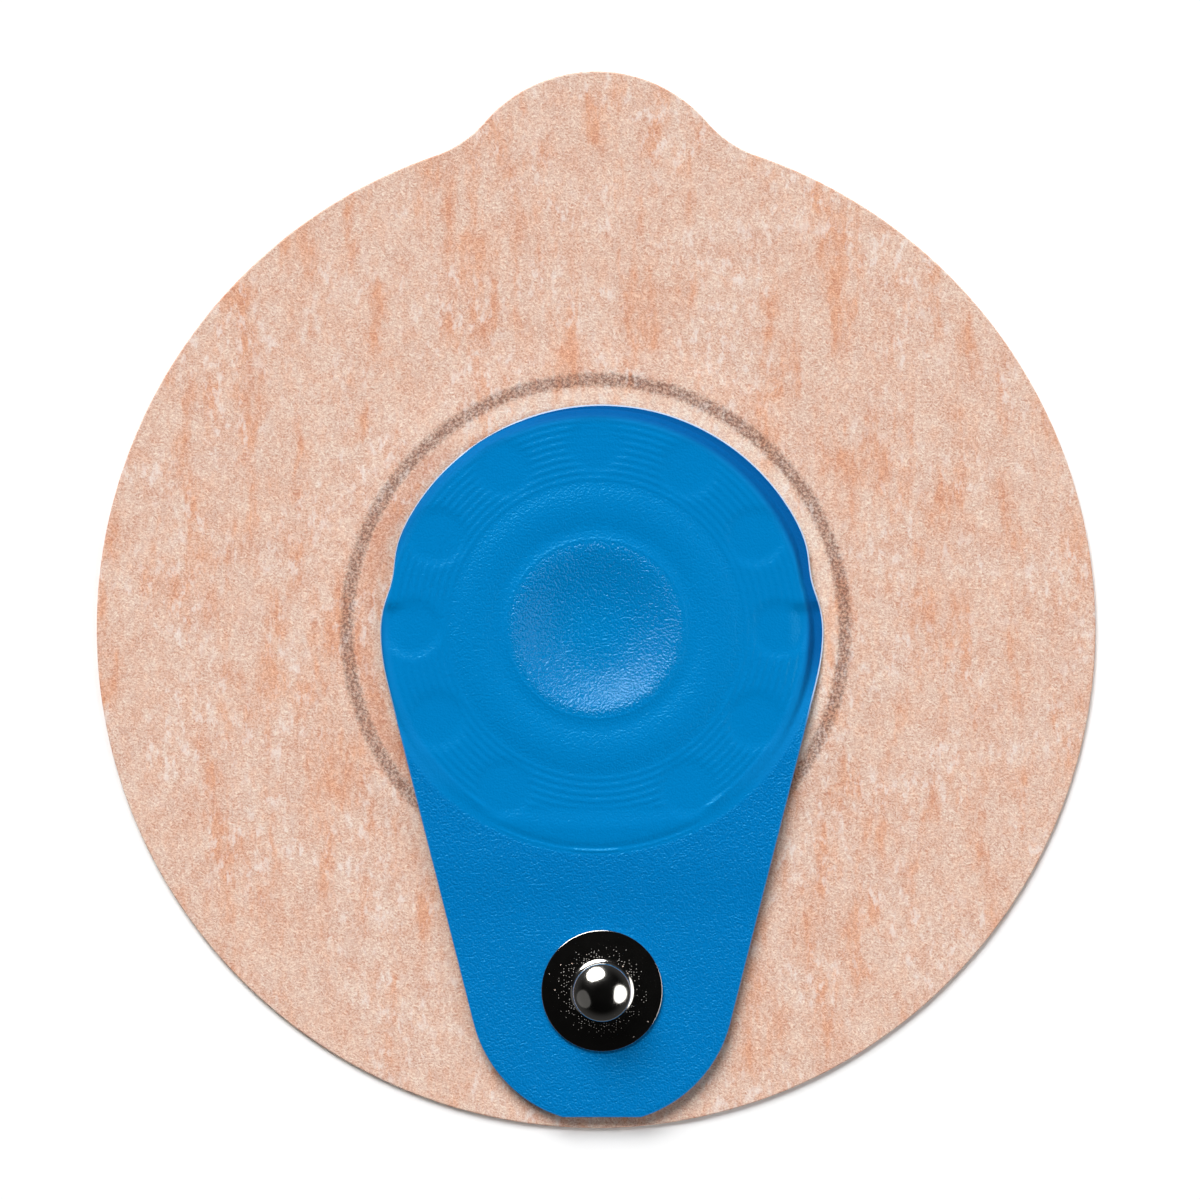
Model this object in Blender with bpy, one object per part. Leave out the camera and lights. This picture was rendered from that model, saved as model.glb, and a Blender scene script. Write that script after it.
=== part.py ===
"""Offset-stud monitoring electrode, lying skin side down.

A skin-coloured nonwoven pad with a pull tab carries a blue film that is drawn over a moulded ring
and a gel sponge. The film's free flap holds a snap stud, which a flat conductor joins to the sensor.
The origin is the pad's centre on the skin face, with +Z away from the skin and +Y towards the tab.
"""

import math

import bmesh
import bpy
from mathutils import Matrix, Vector

MM = 0.001

# Clearances between pieces that are bonded or fit in each other
BOND = 0.05 * MM
HOLE_CLEARANCE = 0.3 * MM
FORMING_CLEARANCE = 0.15 * MM
CONDUCTOR_CLEARANCE = 0.08 * MM

# Nonwoven pad
PAD_THICKNESS = 0.4 * MM
PAD_MARGIN = 0.8 * MM
PAD_STEP_WIDTH = 0.5 * MM
TAB_PROUD = 3.94 * MM
TAB_RADIUS = 10.0 * MM
TAB_FILLET = 7.8 * MM

# Skin-side foil, whose rim shows through the pad as a thin ring
FOIL_MARGIN = 2.3 * MM
FOIL_THICKNESS = 0.1 * MM

# Gel sponge and sensor
SPONGE_FIT = 0.3 * MM
SENSOR_RADIUS = 2.05 * MM
SENSOR_THICKNESS = 0.25 * MM
SENSOR_CHAMFER = 0.06 * MM

# Moulded ring that stiffens the middle
RING_THICKNESS = 0.5 * MM
RING_WIDTH = 4.75 * MM
RING_FLANGE_THICKNESS = 0.12 * MM
RING_FLANGE_WIDTH = 0.3 * MM
RING_EDGE_SLOPE = 0.15 * MM
RING_HOLE_RADIUS = 1.35 * MM

# Conductor from the sensor to the stud
CONDUCTOR_WIDTH = 3.2 * MM
CONDUCTOR_THICKNESS = 0.1 * MM
CONDUCTOR_OVERRUN = 2.4 * MM
EYE_RADIUS = 3.2 * MM

# Film outline: a round middle and a tapering flap that ends round the stud
FILM_THICKNESS = 0.25 * MM
FILM_RADIUS = 15.1 * MM
FLAP_END_RADIUS = 9.0 * MM
FLAP_TRIM = 0.4 * MM
STUD_OFFSET = 24.6 * MM
EDGE_DIP = 0.45 * MM
EDGE_DIP_ANGLE = math.radians(77.5)
EDGE_DIP_WIDTH = math.radians(7.5)

# How far off centre the film is cut: all of it towards +X, its round middle towards +Y
CUT_SHIFT = 0.4 * MM
CUT_RISE = 0.15 * MM

# Film crown: its wall round the top half, its level shoulder round the bottom half
CROWN_MARGIN = 0.65 * MM
CROWN_WALL = 0.5 * MM
CROWN_DIP = 0.35 * MM
SHOULDER_DROP = 0.05 * MM
SHOULDER_START = 1.5 * MM
SHOULDER_END = 9.0 * MM
FLAP_LEVEL_MARGIN = 0.3 * MM

# Film dish with the bead round it and the swell outside that
DISH_MARGIN = 3.25 * MM
DISH_DEPTH = 0.7 * MM
BEAD_WIDTH = 1.2 * MM
BEAD_HEIGHT = 0.055 * MM
BEAD_FLANK = 0.75 * MM
FINE_BEAD_HEIGHT = 0.012 * MM
FINE_BEAD_WIDTH = 0.24 * MM
SWELL_HEIGHT = 0.13 * MM

# Film ridges, dimples and the hollows at the two side dimples
RIDGE_PITCH = 0.5 * MM
RIDGE_COUNT = 9
RIDGE_HEIGHT = 0.02 * MM
DIMPLE_COUNT = 12
DIMPLE_INSET = 2.6 * MM
DIMPLE_RADIUS = 2.3 * MM
DIMPLE_FLOOR_RADIUS = 1.4 * MM
DIMPLE_DEPTH = 0.1 * MM
DIMPLE_LEAST_SHARE = 0.5
DIMPLE_RIDGE_LOSS = 1.4
SINK_DEPTH = 0.22 * MM
SINK_WIDTH = 1.5 * MM
SINK_START = math.radians(79.0)
SINK_FLOOR = math.radians(86.0)
SINK_END = math.radians(114.0)

# Film pocket between the crown and the flap
POCKET_INSET = 3.0 * MM
POCKET_SLOPE = 1.6 * MM
POCKET_RISE = 0.1 * MM
POCKET_EDGE = 0.2 * MM
POCKET_HALF_WIDTH = 7.6 * MM
POCKET_END = 1.5 * MM
POCKET_LINE_HEIGHT = 0.025 * MM
POCKET_LINE_WIDTH = 0.2 * MM
POCKET_LIP_HEIGHT = 0.06 * MM

# Thin film under the flap
LINER_THICKNESS = 0.12 * MM
LINER_INSET = 0.25 * MM
LINER_MARGIN = 0.7 * MM

# Snap stud and the rivet that clinches it
FLANGE_RADIUS = 4.12 * MM
FLANGE_THICKNESS = 0.25 * MM
ROOT_RADIUS = 2.29 * MM
NECK_RADIUS = 1.7 * MM
NECK_HEIGHT = 0.86 * MM
HEAD_RADIUS = 1.975 * MM
HEAD_FLAT_RADIUS = 1.05 * MM
HEAD_DEPTH = 1.9 * MM
HEAD_BELLY_SHARE = 0.45
STUD_WALL = 0.35 * MM
RIVET_FLANGE_RADIUS = 3.6 * MM
RIVET_FLANGE_THICKNESS = 0.25 * MM
RIVET_POST_RADIUS = 1.15 * MM
RIVET_POST_CHAMFER = 0.2 * MM

# Fineness of the round shapes
ROUND_STEPS = 60
SMALL_ROUND_STEPS = 32
HOLE_STEPS = 16
DIMPLE_PITCH_STEPS = 8

# Heights that follow from the pieces below
PAD_RAISED_BOTTOM = FOIL_THICKNESS + BOND
PAD_RAISED_TOP = PAD_RAISED_BOTTOM + PAD_THICKNESS
RING_BOTTOM = PAD_RAISED_TOP + BOND
RING_TOP = RING_BOTTOM + RING_THICKNESS
LAYER_ROOM = CONDUCTOR_THICKNESS + 2.0 * CONDUCTOR_CLEARANCE
CROWN_TOP = RING_TOP + LAYER_ROOM + FILM_THICKNESS
RIM_TOP = RING_BOTTOM + RING_FLANGE_THICKNESS + BOND + FILM_THICKNESS
RIVET_BOTTOM = PAD_THICKNESS + BOND
LINER_BOTTOM = RIVET_BOTTOM + RIVET_FLANGE_THICKNESS + BOND
LINER_TOP = LINER_BOTTOM + LINER_THICKNESS
FLAP_TOP = LINER_TOP + LAYER_ROOM + FILM_THICKNESS
STUD_BOTTOM = FLAP_TOP + BOND
ROOT_FILLET = ROOT_RADIUS - NECK_RADIUS
HEAD_BASE = FLANGE_THICKNESS + ROOT_FILLET + NECK_HEIGHT
STUD_HEIGHT = HEAD_BASE + HEAD_DEPTH

# Radii and places that follow from the film and the stud
CROWN_RADIUS = FILM_RADIUS - CROWN_MARGIN
RIDGE_START = CROWN_RADIUS - RIDGE_COUNT * RIDGE_PITCH
DIMPLE_CIRCLE = FILM_RADIUS - DIMPLE_INSET
RING_CROWN_RADIUS = CROWN_RADIUS - CROWN_DIP - FORMING_CLEARANCE
RING_FLANGE_RADIUS = RING_CROWN_RADIUS + RING_FLANGE_WIDTH
RING_INNER_RADIUS = RING_CROWN_RADIUS - RING_WIDTH
SPONGE_RADIUS = RING_INNER_RADIUS - SPONGE_FIT
DISH_RADIUS = SPONGE_RADIUS - DISH_MARGIN
BEAD_END = DISH_RADIUS + BEAD_WIDTH
FLAP_LEVEL_START = STUD_OFFSET - FLANGE_RADIUS - FLAP_LEVEL_MARGIN
POCKET_CHORD = FILM_RADIUS - POCKET_INSET
LINER_START = FILM_RADIUS + LINER_MARGIN
FOIL_RADIUS = FILM_RADIUS + FOIL_MARGIN
PAD_RADIUS = STUD_OFFSET + FLAP_END_RADIUS - FLAP_TRIM + PAD_MARGIN
TAB_REACH = PAD_RADIUS + TAB_PROUD
POST_HOLE_RADIUS = RIVET_POST_RADIUS + HOLE_CLEARANCE


def smooth_step(start, end, value):
    """Go from 0 at start to 1 at end with level ends."""
    share = (value - start) / (end - start)
    share = min(max(share, 0.0), 1.0)
    return share * share * (3.0 - 2.0 * share)


def bell(centre, width, value):
    """A rounded bump of height 1 at centre."""
    return math.exp(-(((value - centre) / width) ** 2))


def direction(angle):
    """Unit vector at an angle that is counted from +Y towards -X."""
    return Vector((-math.sin(angle), math.cos(angle)))


def edge_dip(angle):
    """Share of the dips where the film's edge is drawn in above the two side dimples."""
    from_tab = abs(math.remainder(angle, math.tau))
    return bell(EDGE_DIP_ANGLE, EDGE_DIP_WIDTH, from_tab)


def dimple(x, y):
    """Share of the dimples over the ring's holes, which are deepest at the two sides."""
    share = 0.0
    for hole in ring_hole_centres():
        distance = math.hypot(x - hole.x, y - hole.y)
        sideways = (hole.x / DIMPLE_CIRCLE) ** 2
        depth = DIMPLE_LEAST_SHARE + (1.0 - DIMPLE_LEAST_SHARE) * sideways
        share += depth * smooth_step(DIMPLE_RADIUS, DIMPLE_FLOOR_RADIUS, distance)
    return share


def side_sink(radius, angle):
    """Share of the hollows in the crown's edge beside the two side dimples."""
    from_tab = abs(math.remainder(angle, math.tau))
    along = smooth_step(SINK_START, SINK_FLOOR, from_tab) * smooth_step(SINK_END, SINK_FLOOR, from_tab)
    return along * smooth_step(CROWN_RADIUS - SINK_WIDTH, CROWN_RADIUS, radius)


def ring_hole_centres():
    """Centres of the ring's holes: one place is left out, where the conductor crosses."""
    centres = []
    for number in range(DIMPLE_COUNT):
        centre = direction(math.tau * number / DIMPLE_COUNT) * DIMPLE_CIRCLE
        if centre.y > -POCKET_CHORD:
            centres.append(centre)
    return centres


def pocket_width(x):
    """Share of the pocket between the crown and the flap, which fades out at its two ends."""
    return smooth_step(POCKET_HALF_WIDTH, POCKET_HALF_WIDTH - POCKET_END, abs(x))


def film_level(y):
    """Height of the film beside the crown: bonded rim, then shoulder, then the flap round the stud."""
    shoulder = CROWN_TOP - SHOULDER_DROP
    rise = smooth_step(-SHOULDER_START, -SHOULDER_END, y)
    fall = smooth_step(-FILM_RADIUS, -FLAP_LEVEL_START, y)
    return RIM_TOP + (shoulder - RIM_TOP) * rise - (shoulder - FLAP_TOP) * fall


def film_form(x, y):
    """Height of the film's upper face without its fine lines."""
    radius = math.hypot(x, y)
    angle = math.atan2(-x, y)
    lower = film_level(y)
    crown_radius = CROWN_RADIUS - CROWN_DIP * edge_dip(angle)
    wall = smooth_step(crown_radius + CROWN_WALL, crown_radius, radius)
    height = lower + (CROWN_TOP - lower) * wall
    height -= DIMPLE_DEPTH * dimple(x, y) + SINK_DEPTH * side_sink(radius, angle)
    if radius < DISH_RADIUS:
        height -= DISH_DEPTH * (1.0 - (radius / DISH_RADIUS) ** 3) ** 1.5
    height += BEAD_HEIGHT * min(max((BEAD_END - radius) / BEAD_FLANK, 0.0), 1.0)
    if BEAD_END < radius < RIDGE_START:
        across = (radius - BEAD_END) / (RIDGE_START - BEAD_END)
        height += SWELL_HEIGHT * 4.0 * across * (1.0 - across)
    bulge = smooth_step(-POCKET_CHORD, -POCKET_CHORD - POCKET_SLOPE, y)
    fall = (radius - FILM_RADIUS + POCKET_EDGE) / POCKET_SLOPE + 1.0
    bulge *= 1.0 - min(max(fall, 0.0), 1.0) ** 2
    return height + POCKET_RISE * pocket_width(x) * bulge


def film_top(x, y):
    """Height of the film's upper face with its fine beads, its ridges and the line below the pocket."""
    radius = math.hypot(x, y)
    height = film_form(x, y)
    for fine_bead in (BEAD_END - BEAD_FLANK, BEAD_END):
        height += FINE_BEAD_HEIGHT * bell(fine_bead, FINE_BEAD_WIDTH / 2.0, radius)
    if y < -POCKET_CHORD:
        half_width = CONDUCTOR_WIDTH / 2.0
        lip = POCKET_LIP_HEIGHT * smooth_step(half_width + CONDUCTOR_CLEARANCE, 0.8 * half_width, abs(x))
        line = POCKET_LINE_HEIGHT * pocket_width(x) + lip
        height += line * bell(FILM_RADIUS, POCKET_LINE_WIDTH / 2.0, radius)
    if RIDGE_START < radius < CROWN_RADIUS and y > -POCKET_CHORD:
        wave = 0.5 - 0.5 * math.cos(math.tau * (radius - RIDGE_START) / RIDGE_PITCH)
        height += RIDGE_HEIGHT * wave * max(1.0 - DIMPLE_RIDGE_LOSS * dimple(x, y), 0.0)
    return height


def film_bottom(x, y):
    """Height of the film's lower face."""
    return film_form(x, y) - FILM_THICKNESS


def mirrored(half):
    """Complete an outline of (x, y) points that runs from +Y to -Y on the -X side."""
    other = [(-x, y) for x, y in reversed(half[1:-1])]
    return half + other


def arc(centre, radius, start, end, steps):
    """Points on a round edge between two angles, which are counted from +Y towards -X."""
    points = []
    for step in range(steps + 1):
        angle = start + (end - start) * step / steps
        point = centre + direction(angle) * radius
        points.append((point.x, point.y))
    return points


def pad_outline():
    """The pad's edge: a disc and a pull tab joined by concave fillets."""
    tab_centre = TAB_REACH - TAB_RADIUS
    disc_reach = PAD_RADIUS + TAB_FILLET
    tab_reach = TAB_RADIUS + TAB_FILLET
    fillet_y = (disc_reach**2 - tab_reach**2 + tab_centre**2) / (2.0 * tab_centre)
    fillet_x = -math.sqrt(disc_reach**2 - fillet_y**2)
    disc_angle = math.atan2(-fillet_x, fillet_y)
    tab_angle = math.atan2(-fillet_x, fillet_y - tab_centre)
    half = arc(Vector((0.0, tab_centre)), TAB_RADIUS, 0.0, tab_angle, 10)
    fillet_centre = Vector((fillet_x, fillet_y))
    half += arc(fillet_centre, TAB_FILLET, tab_angle + math.pi, disc_angle + math.pi, 6)[1:]
    half += arc(Vector((0.0, 0.0)), PAD_RADIUS, disc_angle, math.pi, 50)[1:]
    return mirrored(half)


def film_outline(inset=0.0):
    """The film's edge, cut a little off centre: a round middle, tapering sides and a round, trimmed end."""
    round_radius = FILM_RADIUS - inset
    end_radius = FLAP_END_RADIUS - inset
    cut = end_radius - FLAP_TRIM
    tangent = math.pi / 2.0 + math.asin((round_radius - end_radius) / (STUD_OFFSET + CUT_RISE))
    half = []
    for x, y in arc(Vector((0.0, 0.0)), round_radius, 0.0, tangent, 32):
        dip = 1.0 - EDGE_DIP * edge_dip(math.atan2(-x, y)) / round_radius
        half.append((x * dip, y * dip + CUT_RISE))
    stud_centre = Vector((0.0, -STUD_OFFSET))
    cut_angle = math.pi - math.acos(cut / end_radius)
    end = arc(stud_centre, end_radius, tangent, cut_angle, 10)
    side_start = Vector(half[-1])
    side_end = Vector(end[0])
    side_steps = 5
    for step in range(1, side_steps):
        point = side_start.lerp(side_end, step / side_steps)
        half.append((point.x, point.y))
    half += end
    half.append((0.0, -STUD_OFFSET - cut))
    return [(x + CUT_SHIFT, y) for x, y in mirrored(half)]


def polar(outline):
    """Angles from +Y towards -X and radii of an outline's points, in the order of their angles."""
    return sorted((math.atan2(-x, y) % math.tau, math.hypot(x, y)) for x, y in outline)


def even_angles(count):
    """Angles that divide the full turn evenly, starting at +Y."""
    return [math.tau * step / count for step in range(count)]


def ring_of_vertices(bm, polar_points, height):
    """One ring of (angle, vertex) pairs, at heights that a function of x and y gives."""
    ring = []
    for angle, radius in polar_points:
        flat = direction(angle) * radius
        ring.append((angle, bm.verts.new((flat.x, flat.y, height(flat.x, flat.y)))))
    return ring


def zip_rings(bm, first, second):
    """Fill the band between two rings whose vertices may be spaced differently."""
    i = 0
    j = 0
    while i < len(first) or j < len(second):
        next_first = first[(i + 1) % len(first)][0] + (math.tau if i + 1 >= len(first) else 0.0)
        next_second = second[(j + 1) % len(second)][0] + (math.tau if j + 1 >= len(second) else 0.0)
        corner = first[i % len(first)][1]
        opposite = second[j % len(second)][1]
        if j >= len(second) or (i < len(first) and next_first <= next_second):
            i += 1
            bm.faces.new((corner, first[i % len(first)][1], opposite))
        else:
            j += 1
            bm.faces.new((corner, second[j % len(second)][1], opposite))


def sheet_face(bm, rings, height, closed_middle):
    """One face of a formed sheet: rings of polar points from the inside out."""
    placed = [ring_of_vertices(bm, ring, height) for ring in rings]
    if closed_middle:
        centre = bm.verts.new((0.0, 0.0, height(0.0, 0.0)))
        inner = [vertex for angle, vertex in placed[0]]
        for step, vertex in enumerate(inner):
            bm.faces.new((centre, vertex, inner[(step + 1) % len(inner)]))
    for first, second in zip(placed, placed[1:]):
        zip_rings(bm, first, second)
    return placed


def formed_sheet(name, material, top_rings, bottom_rings, top, bottom, closed_middle=False):
    """A thin formed sheet between two faces that share their edge outline."""
    bm = bmesh.new()
    upper = sheet_face(bm, top_rings, top, closed_middle)
    lower = sheet_face(bm, bottom_rings, bottom, closed_middle)
    zip_rings(bm, upper[-1], lower[-1])
    if not closed_middle:
        zip_rings(bm, upper[0], lower[0])
    return finished(name, bm, material)


def finished(name, bm, material, location=(0.0, 0.0, 0.0)):
    """Turn mesh data into a named object with its material and smooth round faces."""
    bmesh.ops.recalc_face_normals(bm, faces=bm.faces)
    mesh = bpy.data.meshes.new(name)
    bm.to_mesh(mesh)
    bm.free()
    mesh.materials.append(material)
    mesh.shade_smooth()
    mesh.set_sharp_from_angle(angle=math.radians(40.0))
    piece = bpy.data.objects.new(name, mesh)
    piece.location = location
    bpy.context.scene.collection.objects.link(piece)
    return piece


def turned(name, profile, material, steps, location=(0.0, 0.0, 0.0)):
    """Revolve a closed or axis-to-axis profile of (radius, height) points about +Z."""
    bm = bmesh.new()
    vertices = [bm.verts.new((radius, 0.0, height)) for radius, height in profile]
    edges = [bm.edges.new(pair) for pair in zip(vertices, vertices[1:])]
    if profile[0][0] > 0.0:
        edges.append(bm.edges.new((vertices[-1], vertices[0])))
    bmesh.ops.spin(
        bm,
        geom=vertices + edges,
        cent=(0.0, 0.0, 0.0),
        axis=(0.0, 0.0, 1.0),
        angle=math.tau,
        steps=steps,
        use_merge=False,
        use_duplicate=False,
    )
    bmesh.ops.remove_doubles(bm, verts=bm.verts, dist=0.001 * MM)
    return finished(name, bm, material, location)


def cutter(name, bm):
    """A guide solid that only cuts other pieces."""
    piece = finished(name, bm, finish("cutter_guide", (0.5, 0.5, 0.5), 0.5, 0.0))
    piece.hide_render = True
    piece.display_type = "WIRE"
    return piece


def round_cutter(name, radius, centre, bottom, top):
    """An upright round cutter."""
    bm = bmesh.new()
    bmesh.ops.create_cone(
        bm, cap_ends=True, segments=HOLE_STEPS, radius1=radius, radius2=radius, depth=top - bottom
    )
    half_step = Matrix.Rotation(math.pi / HOLE_STEPS, 3, "Z")
    bmesh.ops.rotate(bm, verts=bm.verts, cent=(0.0, 0.0, 0.0), matrix=half_step)
    bmesh.ops.translate(bm, verts=bm.verts, vec=(centre[0], centre[1], (top + bottom) / 2.0))
    return cutter(name, bm)


def box_cutter(name, low, high):
    """A square-edged cutter between two corners."""
    bm = bmesh.new()
    bmesh.ops.create_cube(bm, size=1.0)
    size = [high[axis] - low[axis] for axis in range(3)]
    middle = [(high[axis] + low[axis]) / 2.0 for axis in range(3)]
    bmesh.ops.scale(bm, verts=bm.verts, vec=size)
    bmesh.ops.translate(bm, verts=bm.verts, vec=middle)
    return cutter(name, bm)


def cut(piece, tool):
    """Take a cutter's volume out of a piece."""
    modifier = piece.modifiers.new(tool.name, "BOOLEAN")
    modifier.operation = "DIFFERENCE"
    modifier.solver = "EXACT"
    modifier.object = tool


def finish(name, colour, roughness, metallic):
    """A plain surface finish."""
    material = bpy.data.materials.new(name)
    material.use_nodes = True
    shader = material.node_tree.nodes["Principled BSDF"]
    shader.inputs["Base Color"].default_value = (*colour, 1.0)
    shader.inputs["Roughness"].default_value = roughness
    shader.inputs["Metallic"].default_value = metallic
    material.diffuse_color = (*colour, 1.0)
    return material


def post_cutter(name):
    """The hole that the rivet's post needs through each layer of the flap."""
    top = STUD_BOTTOM + STUD_HEIGHT
    return round_cutter(name, POST_HOLE_RADIUS, (CUT_SHIFT, -STUD_OFFSET), 0.0, top)


def backing():
    """Nonwoven pad, formed up over the foil round its middle hole."""
    material = finish("skin_tone_nonwoven", (0.768, 0.497, 0.386), 0.9, 0.0)
    raised_edge = FOIL_RADIUS + FORMING_CLEARANCE
    step_foot = raised_edge + PAD_STEP_WIDTH
    rings = [
        [(angle, RING_INNER_RADIUS) for angle in even_angles(ROUND_STEPS)],
        [(angle, raised_edge) for angle in even_angles(ROUND_STEPS)],
        [(angle, step_foot) for angle in even_angles(ROUND_STEPS)],
        polar(pad_outline()),
    ]

    def bottom(x, y):
        return PAD_RAISED_BOTTOM * smooth_step(step_foot, raised_edge, math.hypot(x, y))

    def top(x, y):
        return bottom(x, y) + PAD_THICKNESS

    return formed_sheet("backing", material, rings, rings, top, bottom)


def lower_foil():
    """Flat foil ring on the skin side, bonded under the pad."""
    material = finish("skin_side_foil", (0.42, 0.33, 0.29), 0.45, 0.0)
    profile = [
        (RING_INNER_RADIUS, 0.0),
        (FOIL_RADIUS, 0.0),
        (FOIL_RADIUS, FOIL_THICKNESS),
        (RING_INNER_RADIUS, FOIL_THICKNESS),
    ]
    return turned("lower_foil", profile, material, ROUND_STEPS)


def support_ring():
    """Moulded ring with a thin outer flange, a row of holes and a lowered place for the conductor."""
    material = finish("moulded_ring", (0.8, 0.8, 0.78), 0.4, 0.0)
    flange_top = RING_BOTTOM + RING_FLANGE_THICKNESS
    profile = [
        (RING_INNER_RADIUS, RING_BOTTOM),
        (RING_FLANGE_RADIUS, RING_BOTTOM),
        (RING_FLANGE_RADIUS, flange_top),
        (RING_CROWN_RADIUS, flange_top),
        (RING_CROWN_RADIUS - RING_EDGE_SLOPE, RING_TOP),
        (RING_INNER_RADIUS, RING_TOP),
    ]
    ring = turned("support_ring", profile, material, ROUND_STEPS)
    for number, centre in enumerate(ring_hole_centres()):
        cut(ring, round_cutter(f"ring_hole_{number}", RING_HOLE_RADIUS, centre, 0.0, CROWN_TOP))
    pocket_floor = FLAP_TOP - FILM_THICKNESS - LAYER_ROOM
    lowered = box_cutter(
        "ring_pocket",
        (-FILM_RADIUS, -FILM_RADIUS, pocket_floor),
        (FILM_RADIUS, -POCKET_CHORD + FORMING_CLEARANCE, CROWN_TOP),
    )
    cut(ring, lowered)
    return ring


def gel_sponge():
    """Round sponge that holds the gel: level with the skin face below, dished above for the sensor."""
    material = finish("gel_sponge", (0.86, 0.87, 0.84), 0.7, 0.0)
    seat_radius = SENSOR_RADIUS + SPONGE_FIT
    seat_height = sensor_bottom() - BOND
    profile = [(0.0, 0.0), (SPONGE_RADIUS, 0.0)]
    outer_radii = [SPONGE_RADIUS, BEAD_END, BEAD_END - BEAD_FLANK, DISH_RADIUS]
    dish_steps = 3
    for step in range(1, dish_steps):
        outer_radii.append(DISH_RADIUS + (seat_radius - DISH_RADIUS) * step / dish_steps)
    outer_radii.append(seat_radius)
    for radius in outer_radii:
        profile.append((radius, film_bottom(0.0, radius) - LAYER_ROOM))
    profile += [(seat_radius, seat_height), (0.0, seat_height)]
    return turned("gel_sponge", profile, material, ROUND_STEPS)


def sensor_bottom():
    """Height of the sensor's lower face, under the conductor in the middle of the dish."""
    return film_bottom(0.0, 0.0) - LAYER_ROOM - SENSOR_THICKNESS


def sensor():
    """Silver and silver-chloride disc between the sponge and the conductor."""
    material = finish("sensor_silver", (0.55, 0.55, 0.54), 0.45, 0.8)
    bottom = sensor_bottom()
    top = bottom + SENSOR_THICKNESS
    profile = [
        (0.0, bottom),
        (SENSOR_RADIUS - SENSOR_CHAMFER, bottom),
        (SENSOR_RADIUS, bottom + SENSOR_CHAMFER),
        (SENSOR_RADIUS, top - SENSOR_CHAMFER),
        (SENSOR_RADIUS - SENSOR_CHAMFER, top),
        (0.0, top),
    ]
    return turned("sensor", profile, material, SMALL_ROUND_STEPS)


def conductor():
    """Flat strip that follows the film's lower face from the sensor out to an eye round the stud."""
    material = finish("conductor_strip", (0.5, 0.5, 0.5), 0.4, 0.7)
    half_width = CONDUCTOR_WIDTH / 2.0
    eye_angle = math.asin(half_width / EYE_RADIUS)
    eye_start = -STUD_OFFSET + EYE_RADIUS * math.cos(eye_angle)
    columns = [half_width * share for share in (-1.0, -0.5, 0.0, 0.5, 1.0)]
    places = [CONDUCTOR_OVERRUN, 0.0]
    places += [-DISH_RADIUS * share for share in (0.3, 0.6, 0.8, 0.92, 1.0)]
    places += [BEAD_FLANK - BEAD_END, -BEAD_END, -(BEAD_END + RIDGE_START) / 2.0, -RIDGE_START]
    places += [-POCKET_CHORD, -POCKET_CHORD - POCKET_SLOPE, -FILM_RADIUS]
    places += [-(FILM_RADIUS + FLAP_LEVEL_START) / 2.0, -FLAP_LEVEL_START]
    places.append(eye_start)
    stud_centre = Vector((0.0, -STUD_OFFSET))
    eye_edge = arc(stud_centre, EYE_RADIUS, eye_angle, math.tau - eye_angle, SMALL_ROUND_STEPS // 2)[1:-1]
    hole_edge = arc(stud_centre, POST_HOLE_RADIUS, 0.0, math.tau, HOLE_STEPS)[:-1]
    bm = bmesh.new()

    def from_stud(vertices):
        """Pair vertices with their angles round the stud."""
        return [(math.atan2(CUT_SHIFT - v.co.x, v.co.y + STUD_OFFSET) % math.tau, v) for v in vertices]

    def strip_face(drop):
        """One face of the strip, a set distance under the film: its edge and the edge of its hole."""

        def vertex(x, y):
            lean = CUT_SHIFT * smooth_step(-FILM_RADIUS, eye_start, y)
            return bm.verts.new((x + lean, y, film_bottom(x + lean, y) - drop))

        rows = [[vertex(x, y) for x in columns] for y in places]
        for first, second in zip(rows, rows[1:]):
            for column in range(len(columns) - 1):
                bm.faces.new((first[column], first[column + 1], second[column + 1], second[column]))
        eye = [vertex(x, y) for x, y in eye_edge]
        hole = from_stud([vertex(x, y) for x, y in hole_edge])
        last = rows[-1]
        middle = len(columns) // 2
        zip_rings(bm, hole, from_stud(last[middle::-1] + eye + last[: middle : -1]))
        edge = [row[0] for row in rows] + eye + [row[-1] for row in reversed(rows)] + rows[0][-2:0:-1]
        return edge, hole

    top_edge, top_hole = strip_face(CONDUCTOR_CLEARANCE)
    bottom_edge, bottom_hole = strip_face(CONDUCTOR_CLEARANCE + CONDUCTOR_THICKNESS)
    for step, top in enumerate(top_edge):
        after = (step + 1) % len(top_edge)
        bm.faces.new((top, top_edge[after], bottom_edge[after], bottom_edge[step]))
    zip_rings(bm, top_hole, bottom_hole)
    bmesh.ops.triangulate(bm, faces=bm.faces)
    return finished("conductor", bm, material)


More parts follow.
